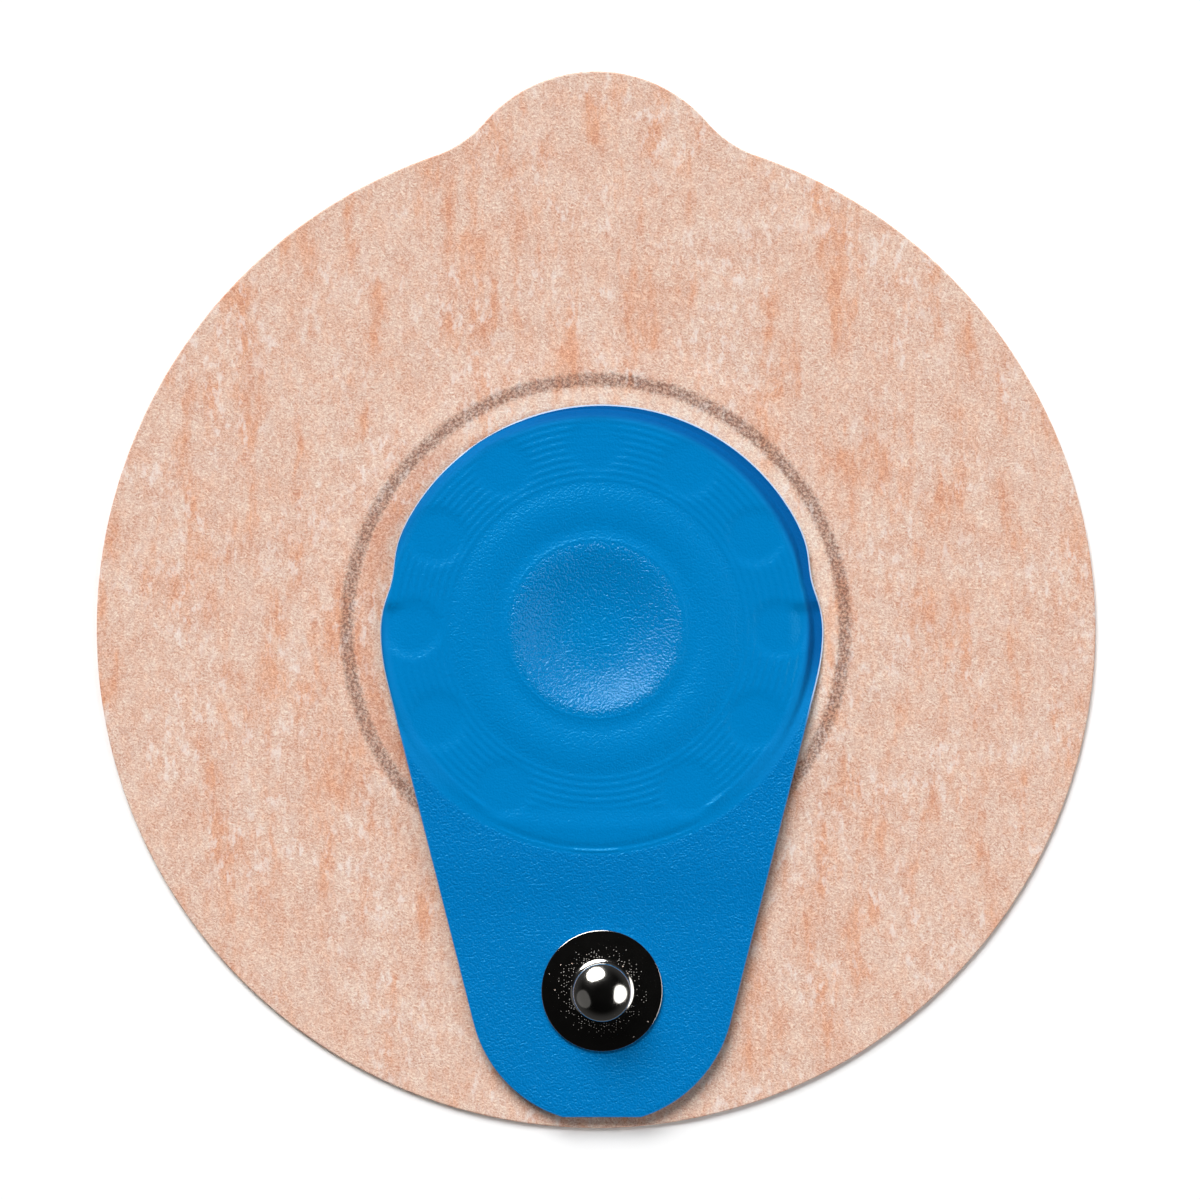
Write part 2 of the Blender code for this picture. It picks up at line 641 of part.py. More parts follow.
def film():
    """Blue film with its pressed relief, and the hole for the rivet in its flap."""
    material = finish("blue_film", (0.0, 0.205, 0.558), 0.35, 0.0)
    outline = polar(film_outline())
    wide_angles = even_angles(36)
    ridge_angles = even_angles(DIMPLE_COUNT * DIMPLE_PITCH_STEPS)

    def round_rings(radii, angles):
        return [[(angle, radius) for angle in angles] for radius in radii]

    def outer_rings(wall_shares):
        """Rings down the crown's wall and out over the flap, along the outline's own rays."""
        rings = [[] for share in wall_shares]
        flap_ring = []
        for angle, edge in outline:
            start = CROWN_RADIUS - CROWN_DIP * edge_dip(angle)
            foot = min(edge - 0.1 * (edge - start), FILM_RADIUS + POCKET_LINE_WIDTH)
            for ring, share in zip(rings, wall_shares):
                ring.append((angle, start + (foot - start) * share))
            level = FLAP_LEVEL_START / max(-math.cos(angle), 0.1)
            flap_ring.append((angle, level if foot < level < edge else (foot + edge) / 2.0))
        return rings + [flap_ring, outline]

    dish = [DISH_RADIUS * share for share in (0.3, 0.6, 0.8, 0.92, 1.0)]
    crest = BEAD_END - BEAD_FLANK
    bead = [crest + FINE_BEAD_WIDTH * share for share in (-0.75, 0.0, 0.75)]
    bead += [BEAD_END + FINE_BEAD_WIDTH * share for share in (-0.75, 0.0, 0.75)]
    swell = [BEAD_END + (RIDGE_START - BEAD_END) * share for share in (0.35, 0.65)]
    half_pitch = RIDGE_PITCH / 2.0
    ridges = [RIDGE_START + half_pitch * step for step in range(2 * RIDGE_COUNT)]
    top_rings = round_rings(dish + bead + swell, wide_angles)
    top_rings += round_rings(ridges, ridge_angles)
    top_rings += outer_rings((0.0, 0.375, 0.75, 1.0))
    dimple_radii = [DIMPLE_CIRCLE + DIMPLE_RADIUS * share for share in (-1.0, -0.6, 0.0, 0.35, 0.7)]
    bottom_rings = round_rings(dish[::2] + [crest, BEAD_END, *swell, RIDGE_START], wide_angles)
    bottom_rings += round_rings(dimple_radii, ridge_angles)
    bottom_rings += outer_rings((0.0, 0.5, 1.0))
    piece = formed_sheet(
        "film", material, top_rings, bottom_rings, film_top, film_bottom, closed_middle=True
    )
    cut(piece, post_cutter("film_post_hole"))
    return piece


def flap_liner():
    """Thin film that covers the conductor under the flap."""
    material = finish("flap_liner", (0.75, 0.8, 0.85), 0.4, 0.0)
    outline = film_outline(LINER_INSET)
    flap = [(x, y) for x, y in outline if math.hypot(x, y) > LINER_START and y < 0.0]
    start_angle = math.atan2(-flap[0][0], flap[0][1])
    inner_edge = arc(Vector((0.0, 0.0)), LINER_START, math.tau - start_angle, start_angle, 16)
    corners = flap + inner_edge
    bm = bmesh.new()
    lower = bm.faces.new([bm.verts.new((x, y, LINER_BOTTOM)) for x, y in corners])
    raised = bmesh.ops.extrude_face_region(bm, geom=[lower])
    moved = [item for item in raised["geom"] if isinstance(item, bmesh.types.BMVert)]
    bmesh.ops.translate(bm, verts=moved, vec=(0.0, 0.0, LINER_THICKNESS))
    liner = finished("flap_liner", bm, material)
    cut(liner, post_cutter("liner_post_hole"))
    return liner


def stud():
    """Turned snap stud: a flange with a rounded rim, a fillet, a neck and a round head."""
    material = finish("nickel_plate", (0.72, 0.7, 0.67), 0.08, 1.0)
    bore = RIVET_POST_RADIUS + FORMING_CLEARANCE
    bore_top = STUD_HEIGHT - STUD_WALL
    profile = [(0.0, bore_top), (bore, bore_top), (bore, 0.0)]
    rim_radius = FLANGE_THICKNESS / 2.0
    rim_steps = 4
    for step in range(rim_steps + 1):
        angle = math.pi * (step / rim_steps - 0.5)
        radius = FLANGE_RADIUS - rim_radius + rim_radius * math.cos(angle)
        profile.append((radius, rim_radius + rim_radius * math.sin(angle)))
    fillet_steps = 3
    for step in range(fillet_steps + 1):
        angle = math.pi / 2.0 * step / fillet_steps
        height = FLANGE_THICKNESS + ROOT_FILLET * (1.0 - math.cos(angle))
        profile.append((ROOT_RADIUS - ROOT_FILLET * math.sin(angle), height))
    profile.append((NECK_RADIUS, HEAD_BASE))
    belly = HEAD_BASE + HEAD_BELLY_SHARE * HEAD_DEPTH
    swell_steps = 2
    for step in range(1, swell_steps + 1):
        share = step / swell_steps
        radius = NECK_RADIUS + (HEAD_RADIUS - NECK_RADIUS) * math.sin(share * math.pi / 2.0)
        profile.append((radius, HEAD_BASE + (belly - HEAD_BASE) * share))
    crown_steps = 6
    for step in range(1, crown_steps + 1):
        angle = math.pi / 2.0 * step / crown_steps
        radius = HEAD_FLAT_RADIUS + (HEAD_RADIUS - HEAD_FLAT_RADIUS) * math.cos(angle)
        profile.append((radius, belly + (STUD_HEIGHT - belly) * math.sin(angle)))
    profile.append((0.0, STUD_HEIGHT))
    return turned("stud", profile, material, SMALL_ROUND_STEPS, (CUT_SHIFT, -STUD_OFFSET, STUD_BOTTOM))


def rivet():
    """Rivet under the flap, whose post passes through the layers into the stud's bore."""
    material = finish("rivet_nickel", (0.66, 0.64, 0.61), 0.25, 1.0)
    bore_top = STUD_BOTTOM + STUD_HEIGHT - STUD_WALL
    post_top = bore_top - FORMING_CLEARANCE - RIVET_BOTTOM
    profile = [
        (0.0, 0.0),
        (RIVET_FLANGE_RADIUS, 0.0),
        (RIVET_FLANGE_RADIUS, RIVET_FLANGE_THICKNESS),
        (RIVET_POST_RADIUS, RIVET_FLANGE_THICKNESS),
        (RIVET_POST_RADIUS, post_top - RIVET_POST_CHAMFER),
        (RIVET_POST_RADIUS - RIVET_POST_CHAMFER, post_top),
        (0.0, post_top),
    ]
    return turned("rivet", profile, material, SMALL_ROUND_STEPS, (CUT_SHIFT, -STUD_OFFSET, RIVET_BOTTOM))


def build():
    """Clear the scene and model every piece."""
    for old in list(bpy.data.objects):
        bpy.data.objects.remove(old, do_unlink=True)
    backing()
    lower_foil()
    support_ring()
    gel_sponge()
    sensor()
    conductor()
    film()
    flap_liner()
    stud()
    rivet()


build()
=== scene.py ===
"""Looks of the offset-stud monitoring electrode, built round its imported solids.

Run as a script, it loads the frame, registers one operator for each group of pieces and one for the
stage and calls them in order. Lengths are in metres. Colours are written as they
look on a screen.
"""

import math

import bpy
import numpy as np
from bpy.props import FloatProperty, FloatVectorProperty, PointerProperty
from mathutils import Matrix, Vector, noise


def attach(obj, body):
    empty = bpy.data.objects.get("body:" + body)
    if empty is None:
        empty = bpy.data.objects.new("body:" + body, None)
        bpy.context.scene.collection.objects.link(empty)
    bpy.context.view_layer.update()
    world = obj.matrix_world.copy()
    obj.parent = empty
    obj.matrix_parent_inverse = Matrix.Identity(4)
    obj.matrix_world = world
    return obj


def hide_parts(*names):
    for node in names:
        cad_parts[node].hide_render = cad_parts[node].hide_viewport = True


bl_info = {
    "name": "Monitoring electrode looks",
    "version": (1, 0, 0),
    "blender": (4, 5, 0),
    "location": "3D View > Sidebar > Electrode",
    "description": "Fine meshes, finishes and a stage for an offset-stud monitoring electrode",
    "category": "Object",
}

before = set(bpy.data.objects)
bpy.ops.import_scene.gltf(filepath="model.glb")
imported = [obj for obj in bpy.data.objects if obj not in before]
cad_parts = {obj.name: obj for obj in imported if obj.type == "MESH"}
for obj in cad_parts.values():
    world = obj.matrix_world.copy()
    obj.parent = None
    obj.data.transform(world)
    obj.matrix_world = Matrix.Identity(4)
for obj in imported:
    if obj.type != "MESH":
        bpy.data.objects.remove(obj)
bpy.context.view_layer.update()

MM = 0.001
BODY = "root"

# Clearances between pieces
BOND = 0.05 * MM
HOLE_CLEARANCE = 0.3 * MM
FORMING_CLEARANCE = 0.15 * MM
CONDUCTOR_CLEARANCE = 0.08 * MM

# Nonwoven pad and the foil under it
PAD_RADIUS = 34.0 * MM
PAD_THICKNESS = 0.4 * MM
PAD_STEP_WIDTH = 2.6 * MM
TAB_REACH = 37.94 * MM
TAB_RADIUS = 10.0 * MM
TAB_FILLET = 7.8 * MM
FOIL_RADIUS = 17.4 * MM
FOIL_THICKNESS = 0.1 * MM

# Sponge, sensor, moulded ring and conductor
SPONGE_RADIUS = 8.9 * MM
SPONGE_FIT = 0.3 * MM
SENSOR_RADIUS = 2.05 * MM
SENSOR_THICKNESS = 0.25 * MM
RING_INNER_RADIUS = 9.2 * MM
RING_THICKNESS = 0.5 * MM
RING_FLANGE_THICKNESS = 0.12 * MM
CONDUCTOR_WIDTH = 3.2 * MM
CONDUCTOR_THICKNESS = 0.1 * MM

# Film outline and relief
FILM_THICKNESS = 0.25 * MM
FILM_RADIUS = 15.1 * MM
FLAP_END_RADIUS = 9.0 * MM
FLAP_CUT = 8.6 * MM
STUD_OFFSET = 24.6 * MM
EDGE_DIP = 0.45 * MM
EDGE_DIP_ANGLE = math.radians(77.5)
EDGE_DIP_WIDTH = math.radians(7.5)
CUT_SHIFT = 0.4 * MM
CUT_RISE = 0.15 * MM
CROWN_RADIUS = 14.45 * MM
CROWN_WALL = 0.5 * MM
CROWN_DIP = 0.35 * MM
SHOULDER_DROP = 0.05 * MM
SHOULDER_START = 1.5 * MM
SHOULDER_END = 9.0 * MM
FLAP_LEVEL_START = 20.18 * MM
DISH_RADIUS = 5.65 * MM
DISH_DEPTH = 0.7 * MM
DISH_POWER = 3.0
BEAD_WIDTH = 1.2 * MM
BEAD_HEIGHT = 0.055 * MM
BEAD_FLANK = 0.75 * MM
FINE_BEAD_HEIGHT = 0.02 * MM
FINE_BEAD_WIDTH = 0.24 * MM
SWELL_HEIGHT = 0.13 * MM
RIDGE_START = 9.95 * MM
RIDGE_PITCH = 0.5 * MM
RIDGE_COUNT = 9
RIDGE_HEIGHT = 0.028 * MM
DIMPLE_COUNT = 12
DIMPLE_CIRCLE = 12.5 * MM
DIMPLE_RADIUS = 2.3 * MM
DIMPLE_FLOOR_RADIUS = 1.4 * MM
DIMPLE_DEPTH = 0.08 * MM
DIMPLE_LEAST_SHARE = 0.5
DIMPLE_RIDGE_LOSS = 1.7
SINK_DEPTH = 0.22 * MM
SINK_WIDTH = 1.5 * MM
SINK_START = math.radians(82.0)
SINK_FLOOR = math.radians(86.0)
SINK_END = math.radians(114.0)
POCKET_CHORD = 12.1 * MM
POCKET_SLOPE = 1.6 * MM
POCKET_RISE = 0.1 * MM
POCKET_EDGE = 0.2 * MM
POCKET_HALF_WIDTH = 7.6 * MM
POCKET_END = 1.5 * MM
POCKET_LINE_HEIGHT = 0.025 * MM
POCKET_LINE_WIDTH = 0.2 * MM
POCKET_LIP_HEIGHT = 0.035 * MM

# Finer relief of the film than the solid's, and its bevelled edge
RIDGE_FADE = 0.3 * MM
DISH_LEAN = 0.8
FOLD_DEPTH = 0.09 * MM
FOLD_WIDTH = 3.2 * MM
PLEAT_HEIGHT = 0.05 * MM
PLEAT_RADIUS = 14.3 * MM
PLEAT_WIDTH = 0.16 * MM
PLEAT_PLACE = 8.1 * MM
PLEAT_LENGTH = 0.7 * MM
EDGE_BEVEL = 0.09 * MM
EDGE_BEVEL_DROP = 0.25 * EDGE_BEVEL
FOOT_STEP = 0.06 * MM

# Thin film under the flap
LINER_THICKNESS = 0.12 * MM

# Snap stud and rivet
FLANGE_RADIUS = 4.12 * MM
FLANGE_THICKNESS = 0.25 * MM
ROOT_RADIUS = 2.29 * MM
NECK_RADIUS = 1.7 * MM
NECK_HEIGHT = 0.86 * MM
HEAD_RADIUS = 1.975 * MM
HEAD_DEPTH = 1.9 * MM
HEAD_TOP_FLAT = 0.3 * MM
HEAD_CORNER_RADIUS = 0.25 * MM
HEAD_CORNER_START = math.radians(36.0)
FLANGE_ROLL = 0.05 * MM
STUD_WALL = 0.35 * MM
RIVET_FLANGE_THICKNESS = 0.25 * MM
RIVET_POST_RADIUS = 1.15 * MM

# Heights that follow from the pieces below
PAD_RAISED_BOTTOM = FOIL_THICKNESS + BOND
RING_BOTTOM = PAD_RAISED_BOTTOM + PAD_THICKNESS + BOND
RING_TOP = RING_BOTTOM + RING_THICKNESS
LAYER_ROOM = CONDUCTOR_THICKNESS + 2.0 * CONDUCTOR_CLEARANCE
CROWN_TOP = RING_TOP + LAYER_ROOM + FILM_THICKNESS
RIM_TOP = RING_BOTTOM + RING_FLANGE_THICKNESS + BOND + FILM_THICKNESS
LINER_TOP = PAD_THICKNESS + RIVET_FLANGE_THICKNESS + 2.0 * BOND + LINER_THICKNESS
FLAP_TOP = LINER_TOP + LAYER_ROOM + FILM_THICKNESS
STUD_BOTTOM = FLAP_TOP + BOND
BEAD_END = DISH_RADIUS + BEAD_WIDTH
ROOT_FILLET = ROOT_RADIUS - NECK_RADIUS
HEAD_BASE = FLANGE_THICKNESS + ROOT_FILLET + NECK_HEIGHT
STUD_HEIGHT = HEAD_BASE + HEAD_DEPTH
STUD_PLACE = (CUT_SHIFT, -STUD_OFFSET)

# Directions of the nonwoven's layers of fibres, in degrees
FIBRE_TURNS = (74.0, 127.0, -38.0, 4.0, 48.0, -12.0, 26.0)

# Stage: each lamp's azimuth from +Y towards -X, its elevation and its width, in degrees
KEY_LAMP = (20.0, 44.0, 38.0)
SIDE_LAMP = (-97.0, 46.0, 40.0)
BACK_LAMP = (112.0, 42.0, 40.0)
CAMERA_PLACE = (0.00027, 0.00195, 0.57)
CAMERA_LENS = 251.0
FLOOR_LEVEL = -0.02 * MM
WALL_RADIUS = 3.0
WALL_HEIGHT = 0.6
STAGE_DEPTH = 0.01


def seen(red, green, blue):
    """Linear values of a colour that is given as it looks on a screen, from 0 to 255."""
    linear = []
    for share in (red / 255.0, green / 255.0, blue / 255.0):
        linear.append(share / 12.92 if share <= 0.04045 else ((share + 0.055) / 1.055) ** 2.4)
    return tuple(linear)


def colour(name, description, value):
    """A colour that the user can change."""
    return FloatVectorProperty(
        name=name, description=description, default=value, subtype="COLOR", size=3, min=0.0, max=1.0
    )


def distance(name, description, value):
    """A small length that the user can change."""
    return FloatProperty(
        name=name, description=description, default=value, min=0.0, precision=6, unit="LENGTH"
    )


def share(name, description, value, highest=1.0):
    """A plain number from 0 up that the user can change."""
    return FloatProperty(name=name, description=description, default=value, min=0.0, max=highest)


class PadLook(bpy.types.PropertyGroup):
    """Colours and fibres of the nonwoven pad."""

    fibre: colour("Fibre", "Light fibres on top of the web", seen(252, 235, 219))
    ground: colour("Ground", "Gaps between the fibres", seen(202, 149, 127))
    # This tint also colours the painted shade on the left of the strip beside the film's edge.
    blush_and_shade: colour("Blush", "Tint of the orange-brown streaks in the web", (0.96, 0.68, 0.53))
    fleck: colour("Fleck", "Thick whitish clumps of fibre", seen(246, 234, 228))
    mark: colour("Ring mark", "Foil rim that shows through the web", seen(108, 66, 50))
    adhesive: colour("Adhesive", "Skin side with its adhesive", seen(232, 208, 192))
    fibre_length: distance("Fibre length", "Spacing of the fibres along their run", 0.6 * MM)
    fibre_width: distance("Fibre width", "Spacing of the fibres across their run", 0.115 * MM)
    fibre_relief: distance("Fibre relief", "Height of a fibre over the gaps", 0.02 * MM)
    unevenness: distance("Unevenness", "Height of the web's soft lumps", 0.03 * MM)


class FilmLook(bpy.types.PropertyGroup):
    """Colours and grain of the blue film."""

    blue: colour("Blue", "Film over the moulded ring", seen(0, 128, 197))
    # The flap's blue is painted darker than the film over the ring, as painted shade for the film that grows
    # darker towards the flap.
    flap_shaded_blue: colour("Flap blue", "Film of the flap, with the pad behind it", seen(0, 120, 190))
    rim_blue: colour("Rim blue", "Film that is bonded down round the crown", seen(0, 86, 154))
    # The edge's pale blue is partly the cut edge's own colour and partly a painted highlight.
    edge_highlight_blue: colour("Edge blue", "Cut edge of the film", seen(206, 226, 248))
    ridge_height: distance("Ridge height", "Height of the concentric ridges", RIDGE_HEIGHT)
    wave: distance("Wave", "Height of the film's slow waves", 0.012 * MM)
    grain_size: distance("Grain size", "Width of a grain pebble", 0.15 * MM)
    grain_height: distance("Grain height", "Height of the grain in the dish", 0.044 * MM)
    roughness: share("Roughness", "Softness of the film's sheen", 0.21)


class StudLook(bpy.types.PropertyGroup):
    """Plating of the stud and the rivet."""

    plate: colour("Plate", "Polished plating", seen(214, 210, 204))
    pit: colour("Pit", "Small pits and dust on the plating", seen(150, 120, 100))
    roughness: share("Roughness", "Softness of the stud's mirror", 0.09)
    pit_spacing: distance("Pit spacing", "Mean distance between two pits", 0.7 * MM)


class CoreLook(bpy.types.PropertyGroup):
    """Colours of the pieces inside and under the film."""

    sponge: colour("Sponge", "Foam that holds the gel", seen(226, 230, 222))
    silver: colour("Silver", "Chlorided face of the sensor", seen(150, 148, 146))
    strip: colour("Strip", "Metal coating of the conductor", seen(176, 178, 182))
    ring: colour("Moulded ring", "Plastic of the ring under the film", seen(232, 232, 226))
    foil: colour("Foil", "Skin-side foil", seen(170, 150, 138))
    liner: colour("Flap liner", "Thin film under the flap", seen(214, 226, 236))
    pore_depth: distance("Pore depth", "Depth of the sponge's open pores", 0.09 * MM)


class StageLook(bpy.types.PropertyGroup):
    """Floor and light."""

    floor: colour("Floor", "Plain floor", seen(255, 255, 255))
    key_level: share("Key light", "Share of a white surface's light that the key lamp gives", 0.805, 3.0)
    side_level: share("Side light", "Share of a white surface's light from the right", 0.18, 3.0)
    back_level: share("Back light", "Share of a white surface's light from the left", 0.009, 3.0)
    fill_level: share("Fill light", "Light from all round", 0.045, 3.0)


class Signal:
    """An output of a shader node, which can be written into sums."""

    def __init__(self, nodes, output):
        self.nodes = nodes
        self.output = output

    def joined(self, operation, first, second):
        """The Math or Vector Math node for one sum."""
        kind = "ShaderNodeVectorMath" if self.output.type == "VECTOR" else "ShaderNodeMath"
        return self.nodes.node(kind, {"operation": operation}, {0: first, 1: second})

    def __add__(self, other):
        return self.joined("ADD", self, other)

    def __radd__(self, other):
        return self.joined("ADD", other, self)

    def __sub__(self, other):
        return self.joined("SUBTRACT", self, other)

    def __rsub__(self, other):
        return self.joined("SUBTRACT", other, self)

    def __mul__(self, other):
        return self.joined("MULTIPLY", self, other)

    def __rmul__(self, other):
        return self.joined("MULTIPLY", other, self)

    def __truediv__(self, other):
        return self.joined("DIVIDE", self, other)

    def highest(self, other):
        """The larger of two signals."""
        return self.joined("MAXIMUM", self, other)

    def other(self, name):
        """Another output of the same node."""
        return Signal(self.nodes, self.output.node.outputs[name])


class Nodes:
    """A node tree to which nodes are added."""

    def __init__(self, tree):
        self.tree = tree

    def feed(self, socket, value):
        """Link a signal to a socket, or set the socket to a plain value."""
        if isinstance(value, Signal):
            self.tree.links.new(value.output, socket)
        elif socket.type == "RGBA":
            socket.default_value = (*value[:3], 1.0)
        elif socket.type == "VECTOR" and isinstance(value, (int, float)):
            socket.default_value = (value, value, value)
        else:
            socket.default_value = value

    def node(self, kind, settings=None, inputs=None, output=0):
        """Add a node: its settings first, then the values or signals of its sockets."""
        node = self.tree.nodes.new(kind)
        for name, value in (settings or {}).items():
            setattr(node, name, value)
        for name, value in (inputs or {}).items():
            self.feed(node.inputs[name], value)
        return Signal(self, node.outputs[output])

    def ramp(self, value, low, high):
        """Go from 0 at low to 1 at high with level ends."""
        settings = {"interpolation_type": "SMOOTHSTEP"}
        return self.node("ShaderNodeMapRange", settings, {"Value": value, "From Min": low, "From Max": high})

    def noise(self, place, size, detail=2.0, roughness=0.5):
        """Soft noise whose lumps are about size millimetres wide."""
        inputs = {"Vector": place, "Scale": 1.0 / size, "Detail": detail, "Roughness": roughness}
        return self.node("ShaderNodeTexNoise", {"noise_dimensions": "3D"}, inputs)

    def cells(self, place, feature="F1", dimensions="2D"):
        """Random cells one unit wide."""
        settings = {"voronoi_dimensions": dimensions, "feature": feature}
        return self.node("ShaderNodeTexVoronoi", settings, {"Vector": place, "Scale": 1.0})

    def turned(self, place, degrees):
        """Places turned about the upright axis."""
        settings = {"rotation_type": "Z_AXIS"}
        inputs = {"Vector": place, "Angle": math.radians(degrees)}
        return self.node("ShaderNodeVectorRotate", settings, inputs)

    def part(self, vector, axis):
        """One of the three numbers of a place or a colour."""
        return self.node("ShaderNodeSeparateXYZ", {}, {0: vector}, axis)

    def mix(self, factor, first, second, blend="MIX"):
        """Mix two colours."""
        settings = {"data_type": "RGBA", "blend_type": blend}
        return self.node("ShaderNodeMix", settings, {0: factor, 6: first, 7: second}, 2)


class Finish(Nodes):
    """A surface finish: a material with its own node tree."""

    def __init__(self, name, **constants):
        old = bpy.data.materials.get(name)
        if old:
            bpy.data.materials.remove(old)
        self.material = bpy.data.materials.new(name)
        self.material.use_nodes = True
        super().__init__(self.material.node_tree)
        self.shader = self.tree.nodes["Principled BSDF"]
        for socket, value in constants.items():
            self.feed(self.shader.inputs[socket.replace("_", " ")], value)

    def place(self):
        """The point on the object, in millimetres."""
        return self.node("ShaderNodeTexCoord", {}, {}, "Object") / MM

    def radius(self, place):
        """Distance from the pad's middle axis, in millimetres."""
        flat = place * (1.0, 1.0, 0.0)
        return self.node("ShaderNodeVectorMath", {"operation": "LENGTH"}, {0: flat}, "Value")

    def paint(self, socket, value):
        """Feed one socket of the surface shader."""
        self.feed(self.shader.inputs[socket], value)

    def relief(self, height):
        """Fine relief whose height is in millimetres."""
        bumped = self.node("ShaderNodeBump", {}, {"Strength": 1.0, "Distance": MM, "Height": height})
        self.paint("Normal", bumped)

    def blended(self, factor, **constants):
        """Blend in a second surface shader that shares the first one's colour and relief."""
        second = self.tree.nodes.new("ShaderNodeBsdfPrincipled")
        for name in ("Base Color", "Normal"):
            self.tree.links.new(self.shader.inputs[name].links[0].from_socket, second.inputs[name])
        for name, value in constants.items():
            self.feed(second.inputs[name.replace("_", " ")], value)
        surface = self.tree.nodes["Material Output"].inputs["Surface"]
        first = Signal(self, surface.links[0].from_socket)
        second = Signal(self, second.outputs[0])
        self.feed(surface, self.node("ShaderNodeMixShader", {}, {0: factor, 1: first, 2: second}))


def smooth_step(start, end, value):
    """Go from 0 at start to 1 at end with level ends."""
    part = np.clip((value - start) / (end - start), 0.0, 1.0)
    return part * part * (3.0 - 2.0 * part)


def edge_dip(angle):
    """Share of the dips where the film's edge is drawn in above the two side dimples."""
    from_tab = np.abs((angle + math.pi) % math.tau - math.pi)
    return np.exp(-(((from_tab - EDGE_DIP_ANGLE) / EDGE_DIP_WIDTH) ** 2))


def bell(centre, width, value):
    """A rounded bump of height 1 at centre."""
    return np.exp(-(((value - centre) / width) ** 2))


def dimple(x, y):
    """Share of the dimples over the ring's holes, which are deepest at the two sides."""
    total = np.zeros_like(x)
    for number in range(DIMPLE_COUNT):
        angle = math.tau * number / DIMPLE_COUNT
        hole_x = -math.sin(angle) * DIMPLE_CIRCLE
        hole_y = math.cos(angle) * DIMPLE_CIRCLE
        depth = DIMPLE_LEAST_SHARE + (1.0 - DIMPLE_LEAST_SHARE) * math.sin(angle) ** 2
        if hole_y > -POCKET_CHORD:
            inside = smooth_step(DIMPLE_RADIUS, DIMPLE_FLOOR_RADIUS, np.hypot(x - hole_x, y - hole_y))
            total = total + depth * inside
    return total


def side_sink(radius, angle, width):
    """Share of the hollows in the crown's edge beside the two side dimples."""
    from_tab = np.abs((angle + math.pi) % math.tau - math.pi)
    along = smooth_step(SINK_START, SINK_FLOOR, from_tab) * smooth_step(SINK_END, SINK_FLOOR, from_tab)
    return along * smooth_step(CROWN_RADIUS - width, CROWN_RADIUS, radius)


def pocket_width(x):
    """Share of the pocket between the crown and the flap, which fades out at its two ends."""
    return smooth_step(POCKET_HALF_WIDTH, POCKET_HALF_WIDTH - POCKET_END, np.abs(x))


def dish_share(radius, power):
    """Share of the dish's depth, of which a higher power gives a flatter floor and a steeper side."""
    return (1.0 - np.clip(radius / DISH_RADIUS, 0.0, 1.0) ** power) ** 1.5


def film_level(y):
    """Height of the film beside the crown: bonded rim, then shoulder, then the flap round the stud."""
    shoulder = CROWN_TOP - SHOULDER_DROP
    rise = smooth_step(-SHOULDER_START, -SHOULDER_END, y)
    fall = smooth_step(-FILM_RADIUS, -FLAP_LEVEL_START, y)
    return RIM_TOP + (shoulder - RIM_TOP) * rise - (shoulder - FLAP_TOP) * fall


def film_form(x, y):
    """Height of the film's upper face without its fine lines."""
    radius = np.hypot(x, y)
    angle = np.arctan2(-x, y)
    lower = film_level(y)
    crown_radius = CROWN_RADIUS - CROWN_DIP * edge_dip(angle)
    wall = smooth_step(crown_radius + CROWN_WALL, crown_radius, radius)
    height = lower + (CROWN_TOP - lower) * wall
    height = height - DIMPLE_DEPTH * dimple(x, y) - SINK_DEPTH * side_sink(radius, angle, SINK_WIDTH)
    height = height - DISH_DEPTH * dish_share(radius, DISH_POWER)
    height = height + BEAD_HEIGHT * np.clip((BEAD_END - radius) / BEAD_FLANK, 0.0, 1.0)
    across = np.clip((radius - BEAD_END) / (RIDGE_START - BEAD_END), 0.0, 1.0)
    height = height + SWELL_HEIGHT * 4.0 * across * (1.0 - across)
    bulge = smooth_step(-POCKET_CHORD, -POCKET_CHORD - POCKET_SLOPE, y)
    fall = (radius - FILM_RADIUS + POCKET_EDGE) / POCKET_SLOPE + 1.0
    bulge = bulge * (1.0 - np.clip(fall, 0.0, 1.0) ** 2)
    return height + POCKET_RISE * pocket_width(x) * bulge


def film_top(x, y, ridge_height):
    """Height of the film's upper face with its fine bead, its ridges and the line below the pocket."""
    radius = np.hypot(x, y)
    half_width = CONDUCTOR_WIDTH / 2.0
    lip = POCKET_LIP_HEIGHT * smooth_step(half_width + CONDUCTOR_CLEARANCE, 0.8 * half_width, np.abs(x))
    line = POCKET_LINE_HEIGHT * pocket_width(x) + lip
    line = line * bell(FILM_RADIUS, POCKET_LINE_WIDTH / 2.0, radius)
    wave = 0.5 - 0.5 * np.cos(math.tau * (radius - RIDGE_START) / RIDGE_PITCH)
    ridge = ridge_height * wave * np.maximum(1.0 - DIMPLE_RIDGE_LOSS * dimple(x, y), 0.0)
    ridge = ridge * smooth_step(-POCKET_CHORD - RIDGE_FADE, -POCKET_CHORD + RIDGE_FADE, y)
    ridged = (radius > RIDGE_START) & (radius < CROWN_RADIUS)
    pleat = bell(PLEAT_RADIUS, PLEAT_WIDTH, radius) * bell(PLEAT_PLACE, PLEAT_LENGTH, np.abs(x))
    fine_beads = bell(BEAD_END, FINE_BEAD_WIDTH / 2.0, radius)
    fine_beads = fine_beads + bell(BEAD_END - BEAD_FLANK, FINE_BEAD_WIDTH / 2.0, radius)
    height = film_form(x, y) + FINE_BEAD_HEIGHT * fine_beads
    power = DISH_POWER - DISH_LEAN * y / np.maximum(radius, 0.1 * MM)
    steeper = dish_share(radius, power) - dish_share(radius, DISH_POWER)
    height = height - DISH_DEPTH * steeper
    height = height - FOLD_DEPTH * side_sink(radius, np.arctan2(-x, y), FOLD_WIDTH)
    height = height + np.where(y < -POCKET_CHORD, line, 0.0) + np.where(ridged, ridge, 0.0)
    return height + PLEAT_HEIGHT * np.where(y < 0.0, pleat, 0.0)


